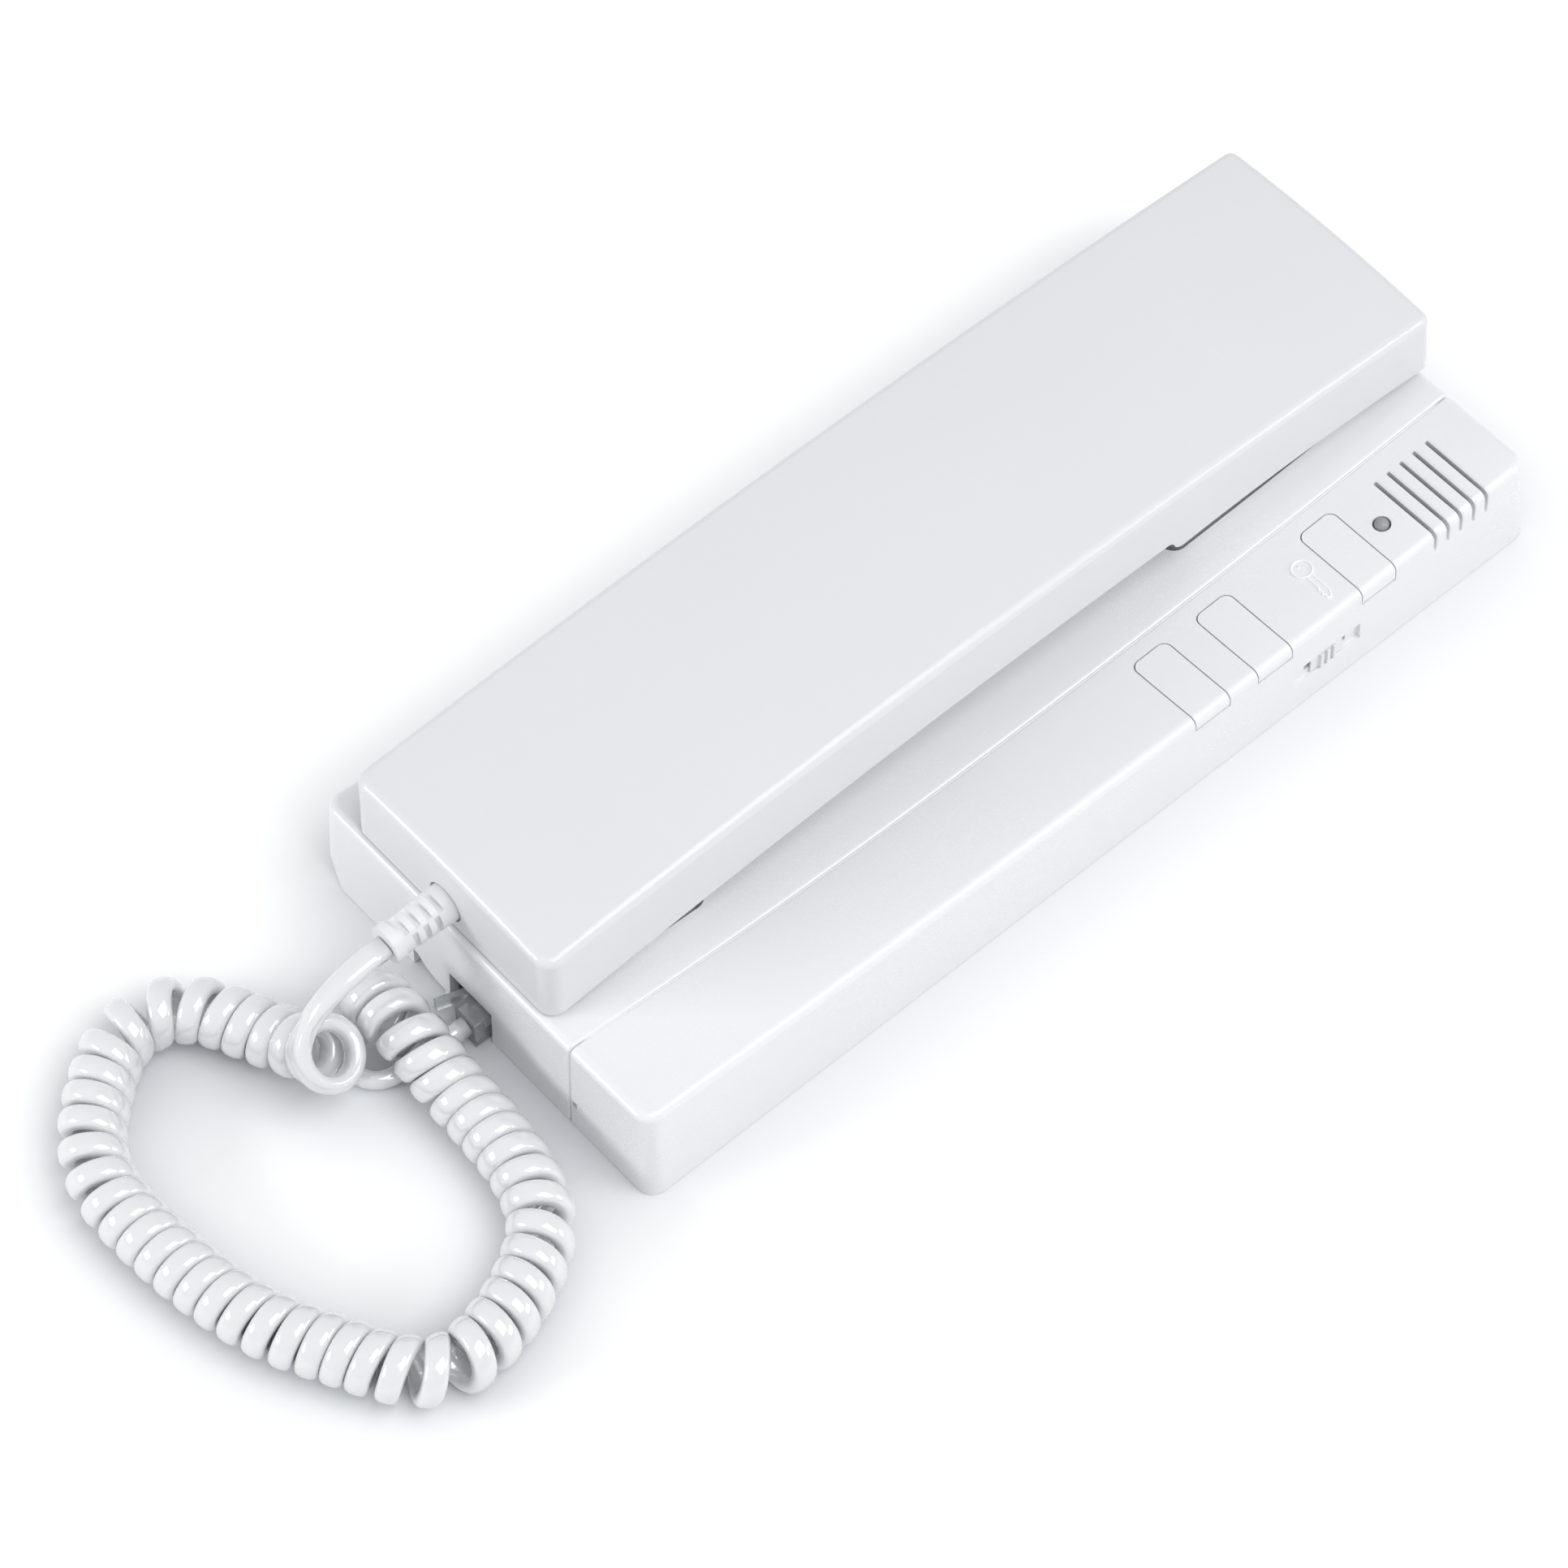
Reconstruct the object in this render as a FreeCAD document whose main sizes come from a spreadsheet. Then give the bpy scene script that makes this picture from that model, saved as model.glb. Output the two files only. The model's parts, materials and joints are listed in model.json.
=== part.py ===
import FreeCAD, Part
import math
import os
import Sketcher

# Audio intercom indoor station, lying on its back as it is shown: a wall base with a handset
# in its cradle, three keys, a call speaker and a curly cord. Millimetres. X runs to the right
# over the front, Y to the device's top end, Z out of the wall. The origin is the centre of
# the back plate's wall side.

Vector = FreeCAD.Vector
doc = FreeCAD.newDocument("intercom_station")
sheet = doc.addObject("Spreadsheet::Sheet", "Sizes")


# Sizes

SIZES = {
    # base, outside
    "base_width": 93.4,
    "base_length": 220.0,
    "base_draft": 0.05,
    "base_wall": 2.0,
    "base_corner": 3.5,
    "rim_round": 1.6,
    "cradle_seam_round": 0.7,
    "strip_seam_round": 0.4,
    "block_top": 32.0,
    # how far a cut runs past what it cuts, and how deep joined forms sink into each other
    "cut_past": 1.0,
    "join_depth": 0.2,
    # front face of the base, a hollow bow along the length
    "front_low_y": -14.0,
    "front_low_z": 17.8,
    "front_foot_z": 24.0,
    "front_head_z": 22.6,
    "rim_low_y": 34.0,
    "rim_low_z": 20.2,
    "rim_foot_z": 24.5,
    "rim_head_z": 22.8,
    # parting line between the cradle housing and the key strip
    "strip_width": 22.2,
    "parting_gap": 0.2,
    "heel_rise": 7.0,
    "heel_in": 2.2,
    # rests for the handset's two cups
    "rest_left_inset": 12.1,
    "rest_right_inset": 9.2,
    "ear_rest_head_inset": 8.5,
    "ear_rest_length": 55.5,
    "ear_rest_floor": 12.0,
    "mouth_rest_foot_inset": 8.0,
    "mouth_rest_length": 34.0,
    "mouth_rest_floor": 16.0,
    "rest_corner": 3.0,
    # hand hollow between the two rests
    "hand_axis_inset": 33.0,
    "hand_axis_z": 50.0,
    "hand_foot_gap": 4.0,
    "hand_head_gap": 6.0,
    "hand_depth_radius": 38.0,
    "hand_end_radius": 31.4,
    # ribs under the front face
    "rib_foot_inset": 8.0,
    "rib_head_inset": 10.0,
    "rib_pitch": 24.0,
    "rib_thick": 1.4,
    "rib_low_z": 9.0,
    # openings in the foot end of the base
    "jack_open_left": 8.4,
    "jack_open_right": 3.6,
    "jack_open_top": 8.9,
    "entry_left": -20.2,
    "entry_right": -11.2,
    "entry_height": 4.6,
    "entry_low_height": 1.7,
    "entry_flat": 1.4,
    "entry_bow": 9.0,
    "release_inset": 0.6,
    "release_z": 6.9,
    "release_width": 1.2,
    "release_height": 1.8,
    # keys
    "key_inset": 3.4,
    "key_width": 8.9,
    "key_corner": 2.0,
    "key_gap": 0.25,
    "key_skirt_z": 17.3,
    "key_travel": 0.6,
    "key_rest_gap": 0.1,
    "key_tongue_skin": 0.8,
    "key_tongue_gap": 0.3,
    "key_low_z": 14.4,
    "key_flange": 1.2,
    "key_stem_inset": 10.7,
    "key_stem_radius": 2.4,
    "upper_key_inset": 39.9,
    "middle_key_drop": 26.6,
    "lower_key_drop": 15.8,
    "key_core_gap": 0.8,
    # lamp
    "led_inset": 9.8,
    "led_from_key": 9.1,
    "led_radius": 1.5,
    "led_gap": 0.3,
    "led_top_z": 21.8,
    "led_seat_z": 12.4,
    "led_flange": 0.4,
    "led_flange_thick": 1.0,
    "led_leg": 0.5,
    "led_leg_pitch": 2.5,
    # speaker slots
    "slot_count": 5.0,
    "slot_from_led": 5.5,
    "slot_pitch": 3.33,
    "slot_inset": 4.8,
    "slot_side_wall": 3.5,
    "slot_low_z": 12.0,
    "slot_rim_drop": 0.6,
    "slot_width": 0.8,
    "slot_side_z": 16.4,
    "slot_side_depth": 0.7,
    # volume slide in the strip's side
    "volume_from_key": 5.2,
    "volume_length": 16.8,
    "volume_low": 6.8,
    "volume_high": 11.3,
    "volume_travel": 4.2,
    "volume_gap": 0.2,
    "volume_depth": 0.9,
    "volume_slot_half": 0.9,
    "volume_ridge": 0.7,
    "volume_ridge_pitch": 1.6,
    "volume_ridge_proud": 0.35,
    "volume_cap_half": 4.0,
    "volume_neck_half": 0.8,
    # call speaker
    "speaker_inset": 11.5,
    "speaker_radius": 8.0,
    "speaker_low": 13.0,
    "speaker_high": 18.2,
    "speaker_wall": 0.8,
    "speaker_rib": 1.2,
    "speaker_gap": 0.3,
    "speaker_rib_low": 14.5,
    "magnet_height": 3.0,
    "cone_gap": 0.4,
    "cone_height": 3.0,
    # back plate and wall fixing
    "plate_thick": 2.4,
    "plate_gap": 0.4,
    "plate_rib": 1.6,
    "plate_rib_height": 2.2,
    "plate_rib_inset": 3.0,
    "plate_rib_end": 6.0,
    "plate_rib_foot": 20.0,
    "cable_window_corner": 2.5,
    "wall_hole_radius": 2.2,
    "wall_hole_spacing": 160.0,
    "box_hole_spacing": 60.0,
    "cable_window_width": 20.0,
    "cable_window_length": 18.0,
    # main board
    "board_inset": 2.7,
    "board_side_gap": 4.1,
    "board_foot_inset": 48.0,
    "board_head_inset": 12.0,
    "board_low": 5.4,
    "board_thick": 1.6,
    "screw_radius": 1.1,
    "screw_head_radius": 2.2,
    "screw_head": 1.2,
    "screw_gap": 0.3,
    "board_post_radius": 2.8,
    "board_screw_inset": 4.0,
    "board_screw_drop": 22.7,
    "board_screw_sink": 1.4,
    "dome_radius": 3.4,
    "dome_top_radius": 2.5,
    "dome_height": 3.4,
    # terminals
    "terminal_inset": 10.0,
    "terminal_pitch": 5.08,
    "terminal_count": 4.0,
    "terminal_depth": 8.2,
    "terminal_height": 8.5,
    "terminal_well": 1.9,
    "terminal_screw_radius": 1.5,
    "terminal_well_depth": 4.5,
    "terminal_mouth": 3.0,
    "terminal_mouth_height": 2.6,
    # switch behind the volume slide
    "switch_length": 15.0,
    "switch_height": 4.6,
    "switch_left_reach": 1.0,
    "switch_side_gap": 1.2,
    "switch_groove_depth": 2.6,
    # handset
    "handset_side": 3.05,
    "handset_draft": 0.04,
    "handset_foot_inset": 2.0,
    "handset_head_inset": 0.0,
    "handset_wall": 2.2,
    "handset_crown_z": -255.0,
    "handset_top_foot": 41.8,
    "handset_top_bow": 1560.0,
    "handset_top_head": 40.8,
    "handset_edge_foot": 24.6,
    "handset_edge_mid": 29.8,
    "handset_edge_mid_y": 5.0,
    "handset_step_edge": 29.3,
    "handset_step_gap": 4.4,
    "handset_step_length": 3.8,
    "handset_step_round": 1.9,
    "handset_step_hollow": 2.4,
    "handset_step_mid": 27.8,
    "handset_ear_edge": 26.4,
    "handset_ear_bow": 400.0,
    "handset_edge_head": 24.9,
    "handset_round": 1.8,
    "handset_foot_corner": 3.4,
    "handset_head_corner": 2.2,
    "inner_gap": 0.4,
    "inner_set": 0.3,
    "inner_thick": 2.0,
    "cup_gap": 1.3,
    "cup_wall": 2.0,
    "ear_cup_foot_gap": 2.5,
    "ear_cup_head_gap": 2.0,
    "mouth_cup_gap": 1.5,
    "cup_top_z": 27.4,
    "cup_hollow_corner": 0.6,
    "hear_hole_radius": 1.0,
    "hear_hole_ring": 5.5,
    "capsule_radius": 16.4,
    "capsule_rim_height": 5.5,
    "seal_width": 4.0,
    "seal_inset": 1.0,
    "capsule_height": 8.0,
    "seal_thick": 1.2,
    "mic_radius": 4.9,
    "mic_height": 5.0,
    "mic_from_cup": 8.5,
    "mic_gap": 0.3,
    "mic_holder_wall": 1.2,
    "mic_holder_proud": 0.8,
    "shell_low_z": 15.0,
    "handset_seat_foot_gap": 17.5,
    "handset_seat_foot_z": 30.1,
    "handset_seat_head_gap": 18.5,
    "handset_seat_head_z": 31.1,
    "handset_boss_radius": 3.2,
    "handset_boss_z": 32.2,
    "handset_screw_length": 6.0,
    # hook switch
    "hook_inset": 12.0,
    "hook_width": 9.0,
    "hook_length": 5.0,
    "hook_gap": 0.25,
    "hook_rise": 3.0,
    "hook_foot_z": 9.4,
    "hook_flange": 1.5,
    "hook_switch_length": 12.8,
    "hook_switch_width": 6.4,
    "hook_switch_top": 7.0,
    "leaf_thick": 0.4,
    "leaf_width": 4.0,
    "leaf_length": 10.0,
    # strain relief and cord
    "boot_inset": 1.35,
    "boot_z": 29.7,
    "boot_radius": 3.9,
    "boot_end_radius": 3.5,
    "boot_length": 13.0,
    "boot_hole_gap": 0.4,
    "boot_flange_radius": 5.2,
    "boot_ring_radius": 3.95,
    "boot_ring_width": 1.9,
    "boot_slot_width": 1.2,
    "boot_slot_pitch": 2.5,
    "boot_slot_depth": 1.2,
    "boot_slot_reach": 2.6,
    "boot_ring_gap": 0.9,
    "boot_face_gap": 0.3,
    "boot_flange_gap": 0.5,
    "boot_flange_thick": 1.2,
    "cord_width": 3.9,
    "cord_thick": 3.4,
    "coil_radius": 4.7,
    "coil_end_radius": 5.5,
    "coil_turns": 46.12,
    "coil_start_angle": 136.6,
    "coil_pitch": 4.7,
    "coil_gap": 0.6,
    # plug and jack
    "plug_x": -1.3,
    "plug_z": 4.35,
    "plug_width": 7.65,
    "plug_thick": 5.6,
    "plug_length": 11.2,
    "plug_proud": 3.0,
    "jack_wall": 1.2,
    "jack_gap": 0.1,
    "jack_length": 15.0,
    "jack_front_gap": 0.6,
    "jack_foot_z": 0.2,
    "jack_roof": 0.9,
    "jack_nose_gap": 0.6,
    "jack_notch_gap": 0.5,
    "jack_contact_depth": 0.9,
    "jack_contact": 0.3,
    "jack_contact_thick": 0.6,
    "plug_contact": 0.36,
    "plug_contact_gap": 0.12,
    "plug_contact_length": 4.6,
    "plug_contact_depth": 1.6,
    "plug_mouth_wall": 0.6,
    "plug_mouth_depth": 2.4,
    "jack_left_reach": 9.2,
    "jack_right_reach": 4.5,
    "latch_width": 3.0,
    "latch_gap": 0.4,
    "contact_pitch": 1.02,
}

for row, (alias, number) in enumerate(SIZES.items(), start=1):
    sheet.set("A%d" % row, alias)
    sheet.set("B%d" % row, str(number))
    sheet.setAlias("B%d" % row, alias)
doc.recompute()


class Size:
    """A number together with the expression over the sheet that gives it."""

    def __init__(self, value, text):
        self.value = float(value)
        self.text = text

    def combine(self, other, sign, flip=False):
        other = size(other)
        left, right = (other, self) if flip else (self, other)
        a, b = left.value, right.value
        value = {"+": a + b, "-": a - b, "*": a * b, "/": a / b if b else 0.0}[sign]
        return Size(value, "(%s %s %s)" % (left.text, sign, right.text))

    def __add__(self, other):
        return self.combine(other, "+")

    def __sub__(self, other):
        return self.combine(other, "-")

    def __mul__(self, other):
        return self.combine(other, "*")

    def __truediv__(self, other):
        return self.combine(other, "/")

    def __radd__(self, other):
        return self.combine(other, "+", True)

    def __rsub__(self, other):
        return self.combine(other, "-", True)

    def __rmul__(self, other):
        return self.combine(other, "*", True)

    def __rtruediv__(self, other):
        return self.combine(other, "/", True)

    def __neg__(self):
        return Size(0, "0") - self

    def __float__(self):
        return self.value


def size(number):
    """A Size as it is, or a plain number made into one."""
    return number if isinstance(number, Size) else Size(number, "%.6f" % number)


def cell(alias):
    """The named size of the sheet."""
    return Size(SIZES[alias], "Sizes.%s" % alias)


def bind(thing, prop, number):
    """Ties a property of an object to the sheet."""
    number = size(number)
    thing.setExpression(prop, number.text)


def place(thing, x, y, z):
    """Ties an object's position to the sheet."""
    for axis, number in zip("xyz", (x, y, z)):
        bind(thing, "Placement.Base.%s" % axis, number)


# Sketches. An outline is a list of corners. A corner is (u, v) or, where the stretch that
# leads to it is an arc, (u, v, radius, side): side 1 bows to the left of the way there.

def plane_of(body, role):
    """The body's own origin plane of that role."""
    return [f for f in body.Origin.OriginFeatures if f.Role == role][0]


def arc_between(start, end, radius, side):
    """The arc of that radius between start and end, anticlockwise as sketches hold it."""
    du, dv = end[0] - start[0], end[1] - start[1]
    chord = math.hypot(du, dv)
    mid_u, mid_v = (start[0] + end[0]) / 2, (start[1] + end[1]) / 2
    rise = radius - math.sqrt(radius * radius - chord * chord / 4)
    top = Vector(mid_u - side * dv / chord * rise, mid_v + side * du / chord * rise, 0)
    first, last = (end, start) if side > 0 else (start, end)
    return Part.Arc(Vector(first[0], first[1], 0), top, Vector(last[0], last[1], 0))


def sketch(body, name, role, outlines, offset=0.0, rise=0.0):
    """A sketch on one of the body's planes, each corner of it tied to the sheet. The sketch
    lies off the plane by the offset, and its axes lie up by the rise."""
    drawn = body.newObject("Sketcher::SketchObject", name)
    drawn.AttachmentSupport = [(plane_of(body, role), "")]
    drawn.MapMode = "FlatFace"
    bind(drawn, "AttachmentOffset.Base.y", rise)
    bind(drawn, "AttachmentOffset.Base.z", offset)
    for outline in outlines:
        corners = [[size(n) for n in corner[:3]] + list(corner[3:]) for corner in outline]
        first = drawn.GeometryCount
        for here, after in zip(corners, corners[1:] + corners[:1]):
            start = (here[0].value, here[1].value)
            end = (after[0].value, after[1].value)
            if len(after) == 4:
                drawn.addGeometry(arc_between(start, end, after[2].value, after[3]))
            else:
                drawn.addGeometry(Part.LineSegment(Vector(*start, 0), Vector(*end, 0)))
        count = len(corners)
        for i, corner in enumerate(corners):
            line = drawn.Geometry[first + i]
            tail = drawn.Geometry[first + (i - 1) % count]
            own = start_of(line, corner)
            joint = start_of(tail, corner)
            drawn.addConstraint(Sketcher.Constraint("Coincident", first + (i - 1) % count,
                                                    joint, first + i, own))
            for way, number in (("DistanceX", corner[0]), ("DistanceY", corner[1])):
                fixed = drawn.addConstraint(Sketcher.Constraint(way, -1, 1, first + i, own,
                                                                number.value))
                drawn.setExpression("Constraints[%d]" % fixed, number.text)
            if len(corner) == 4:
                fixed = drawn.addConstraint(Sketcher.Constraint(
                    "Radius", first + (i - 1) % count, corner[2].value))
                drawn.setExpression("Constraints[%d]" % fixed, corner[2].text)
    return drawn


def start_of(curve, corner):
    """1 or 2: which end of the curve lies at the corner."""
    here = Vector(corner[0].value, corner[1].value, 0)
    gap_one = (curve.StartPoint - here).Length
    gap_two = (curve.EndPoint - here).Length
    return 1 if gap_one < gap_two else 2


def new_body(name):
    """An empty body of that name."""
    body = doc.addObject("PartDesign::Body", name)
    body.Label = name
    return body


def feature(body, kind, name, profile, **options):
    """A feature on a sketch. Sizes among the options are tied to the sheet."""
    made = body.newObject("PartDesign::%s" % kind, name)
    made.Profile = profile
    for prop, value in options.items():
        if isinstance(value, Size):
            bind(made, prop, value)
        else:
            setattr(made, prop, value)
    doc.recompute()
    return made


def volume_of(body):
    return body.Shape.Volume


def must_cut(body, kind, name, profile, **options):
    """A cutting feature, turned round when it points away from the solid."""
    before = volume_of(body)
    made = feature(body, kind, name, profile, **options)
    if volume_of(body) > before - 1e-3:
        made.Reversed = not made.Reversed
        doc.recompute()
    if volume_of(body) > before - 1e-3:
        raise ValueError("%s cuts nothing" % name)
    return made


def edges_of(shape, test):
    """Names of the edges whose middle and box pass the test."""
    names = []
    for index, edge in enumerate(shape.Edges, start=1):
        middle = edge.valueAt((edge.FirstParameter + edge.LastParameter) / 2)
        if test(middle, edge.BoundBox):
            names.append("Edge%d" % index)
    return names


def rounded(body, name, radius, test, kind="Fillet"):
    """A fillet or chamfer on the body's edges that pass the test."""
    tip = body.Tip
    names = edges_of(tip.Shape, test)
    if not names:
        raise ValueError("%s finds no edge" % name)
    made = body.newObject("PartDesign::%s" % kind, name)
    made.Base = (tip, names)
    bind(made, "Radius" if kind == "Fillet" else "Size", radius)
    doc.recompute()
    return made


# Part-level helpers

def box(name, x0, y0, z0, x1, y1, z1):
    """A block between two corners."""
    made = doc.addObject("Part::Box", name)
    for prop, low, high in (("Length", x0, x1), ("Width", y0, y1), ("Height", z0, z1)):
        bind(made, prop, size(high) - low)
    place(made, x0, y0, z0)
    return made


def rod(name, x, y, z, radius, length, way="z"):
    """A cylinder from a point along +x, +y or +z."""
    made = doc.addObject("Part::Cylinder", name)
    turn = {"z": (Vector(0, 0, 1), 0), "x": (Vector(0, 1, 0), 90), "y": (Vector(1, 0, 0), -90)}
    made.Placement = FreeCAD.Placement(Vector(0, 0, 0), FreeCAD.Rotation(*turn[way]))
    bind(made, "Radius", radius)
    bind(made, "Height", length)
    place(made, x, y, z)
    return made


def ring(name, x, y, z, inner, outer, height):
    """A flat ring or tube standing on a point."""
    return cut(name, rod(name + "_out", x, y, z, outer, height),
               [rod(name + "_in", x, y, size(z) - 1, inner, size(height) + 2)])


def joined(name, pieces):
    """Pieces that are one solid."""
    made = doc.addObject("Part::MultiFuse", name)
    made.Shapes = pieces
    made.Label = name
    return made


def cut(name, base, tools):
    """A piece less its cut-outs."""
    made = doc.addObject("Part::Cut", name)
    made.Base = base
    made.Tool = tools[0] if len(tools) == 1 else joined(name + "_tools", tools)
    made.Label = name
    return made


def common(name, base, tool):
    """What two forms share."""
    made = doc.addObject("Part::Common", name)
    made.Base = base
    made.Tool = tool
    made.Label = name
    return made


def group(name, pieces):
    """Like pieces that share a node, as separate solids."""
    made = doc.addObject("Part::Compound", name)
    made.Links = pieces
    made.Label = name
    return made


parts = {}


def keep(name, thing):
    """Hands a finished sub-part on under its node name."""
    thing.Label = name
    parts[name] = thing
    return thing


def cone(name, x, y, z, low_radius, high_radius, length):
    """A cone frustum standing on a point."""
    made = doc.addObject("Part::Cone", name)
    bind(made, "Radius1", low_radius)
    bind(made, "Radius2", high_radius)
    bind(made, "Height", length)
    place(made, x, y, z)
    return made


def prism(name, outline, low, high):
    """An upright prism over an outline in X and Y."""
    body = new_body(name)
    drawn = sketch(body, name + "_outline", "XY_Plane", [outline], low)
    feature(body, "Pad", name + "_pad", drawn, Length=size(high) - low)
    return body


def slab(name, outline, left, right):
    """A slab over an outline in Y and Z, between two planes across X."""
    body = new_body(name)
    drawn = sketch(body, name + "_outline", "YZ_Plane", [outline], left)
    feature(body, "Pad", name + "_pad", drawn, Length=size(right) - left)
    return body


def rounded_box(x0, y0, x1, y1, radius):
    """A rectangle with round corners, anticlockwise from its lower left side."""
    x0, y0, x1, y1, radius = (size(n) for n in (x0, y0, x1, y1, radius))
    return [(x0, y0 + radius), (x0 + radius, y0, radius, -1), (x1 - radius, y0),
            (x1, y0 + radius, radius, -1), (x1, y1 - radius), (x1 - radius, y1, radius, -1),
            (x0 + radius, y1), (x0, y1 - radius, radius, -1)]


def turned_back(path):
    """The same path walked the other way."""
    back = []
    lead = ()
    for corner in reversed(path):
        back.append(tuple(corner[:2]) + lead)
        lead = (corner[2], -corner[3]) if len(corner) == 4 else ()
    return back


def bow_radius(run, rise):
    """Radius of an arc that leaves level and rises that much over that run."""
    return (run * run / rise + rise) / 2


# Base, outside forms

top = cell("block_top")
past = cell("cut_past")
sunk = cell("join_depth")
under = -past
half_length = cell("base_length") / 2
half_width = cell("base_width") / 2
wall = cell("base_wall")
draft = cell("base_draft")
parting = half_width - cell("strip_width")


def front_bow(name, inset, floor):
    """The base seen from its side, in Y and Z: two arcs that meet level at the lowest point."""
    low_y, low_z = cell(name + "_low_y"), cell(name + "_low_z") - inset
    foot_z = cell(name + "_foot_z") - inset
    head_z = cell(name + "_head_z") - inset
    foot_y = draft * foot_z + inset - half_length
    head_y = half_length - inset - draft * head_z
    foot_bow = bow_radius(low_y - foot_y, foot_z - low_z)
    head_bow = bow_radius(head_y - low_y, head_z - low_z)
    return [(draft * floor + inset - half_length, floor), (foot_y, foot_z),
            (low_y, low_z, foot_bow, -1), (head_y, head_z, head_bow, -1),
            (half_length - inset - draft * floor, floor)]


def cradle_block(name, inset, floor, past=0.0):
    """The cradle side of the base as a full block, or its hollow where inset. A hollow runs
    past the parting line."""
    body = new_body(name)
    right = parting - cell("parting_gap") + past
    bow = sketch(body, name + "_bow", "YZ_Plane", [front_bow("front", inset, floor)], right)
    feature(body, "Pad", name + "_pad", bow, Length=right + half_width, Reversed=True)
    rise, heel = cell("heel_rise"), cell("heel_in")
    side = [(inset + heel - half_width, floor), (inset - half_width, rise),
            (inset + draft * (top - rise) - half_width, top),
            (-half_width - 4, top), (-half_width - 4, floor)]
    wedge = sketch(body, name + "_side", "XZ_Plane", [side])
    must_cut(body, "Pocket", name + "_side_cut", wedge, Type="ThroughAll", SideType="Symmetric")
    return body


def strip_block(name, inset, floor, past=0.0):
    """The key side of the base, ruled from the parting line to the right-hand rim."""
    body = new_body(name)
    left = parting - past
    near = sketch(body, name + "_near", "YZ_Plane", [front_bow("front", inset, floor)], left)
    far = sketch(body, name + "_far", "YZ_Plane", [front_bow("rim", inset, floor)], half_width)
    loft = body.newObject("PartDesign::AdditiveLoft", name + "_loft")
    loft.Profile = near
    loft.Sections = [far]
    loft.Ruled = True
    doc.recompute()
    side = [(half_width - inset - draft * floor, floor), (half_width - inset - draft * top, top),
            (half_width + 4, top), (half_width + 4, floor)]
    wedge = sketch(body, name + "_side", "XZ_Plane", [side])
    must_cut(body, "Pocket", name + "_side_cut", wedge, Type="ThroughAll", SideType="Symmetric")
    return body


def upright_corner(sign):
    """Test for the upright edges at the base's corners on one side."""
    def test(middle, bounds):
        at_end = abs(middle.y) > SIZES["base_length"] / 2 - 3
        at_side = sign * middle.x > SIZES["base_width"] / 2 - 3
        return at_end and at_side and bounds.ZLength > 4
    return test


def top_rim(sign):
    """Test for the edges round the front face, less the one along the parting line."""
    def test(middle, bounds):
        seam = parting.value
        near_seam = bounds.XLength < 0.5 and abs(middle.x - seam) < 0.5
        level_line = bounds.XLength > 15 and abs(middle.y) < 50
        on_rim = middle.z > SIZES["front_low_z"] - 0.4 and bounds.ZLength < 8
        return on_rim and not near_seam and not level_line
    return test


def seam_edge(middle, bounds):
    """Test for the edges along the parting line, on the front and down the ends."""
    near_seam = abs(middle.x - parting.value) < 0.5 and bounds.XLength < 0.5
    return near_seam and bounds.ZMin > -0.5 and (bounds.ZLength > 4 or middle.z > 10)


cradle_outer = cradle_block("cradle_outer", size(0), size(0))
rounded(cradle_outer, "cradle_corners", cell("base_corner"), upright_corner(-1))
rounded(cradle_outer, "cradle_rim", cell("rim_round"), top_rim(-1))
rounded(cradle_outer, "cradle_seam", cell("cradle_seam_round"), seam_edge)
strip_outer = strip_block("strip_outer", size(0), size(0))
rounded(strip_outer, "strip_corners", cell("base_corner"), upright_corner(1))
rounded(strip_outer, "strip_rim", cell("rim_round"), top_rim(1))
rounded(strip_outer, "strip_seam", cell("strip_seam_round"), seam_edge)


# Cradle housing: rests for the ear and mouth cups, and a hollow for the hand

skin = wall
cup_left = cell("rest_left_inset") - half_width
cup_right = parting - cell("rest_right_inset")
ear_head = half_length - cell("ear_rest_head_inset")
ear_foot = ear_head - cell("ear_rest_length")
mouth_foot = cell("mouth_rest_foot_inset") - half_length
mouth_head = mouth_foot + cell("mouth_rest_length")
ear_floor, mouth_floor = cell("ear_rest_floor"), cell("mouth_rest_floor")


def hand_hollow(name, thick):
    """The hollow behind the grip, turned about an axis along Y and deepest in its middle."""
    body = new_body(name)
    hand_foot, hand_head = mouth_head + cell("hand_foot_gap"), ear_foot - cell("hand_head_gap")
    mid_y, reach = (hand_foot + hand_head) / 2, (hand_head - hand_foot) / 2 + thick
    deep, shallow = cell("hand_depth_radius") + thick, cell("hand_end_radius") + thick
    drop = deep - shallow
    swell = bow_radius(reach, drop)
    outline = [(mid_y - reach, 0), (mid_y - reach, -shallow),
               (mid_y + reach, -shallow, swell, -1), (mid_y + reach, 0)]
    drawn = sketch(body, name + "_outline", "YZ_Plane", [outline],
                   parting - cell("hand_axis_inset"), cell("hand_axis_z"))
    feature(body, "Revolution", name + "_turn", drawn, Angle=360,
            ReferenceAxis=(drawn, ["H_Axis"]))
    return body


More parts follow.
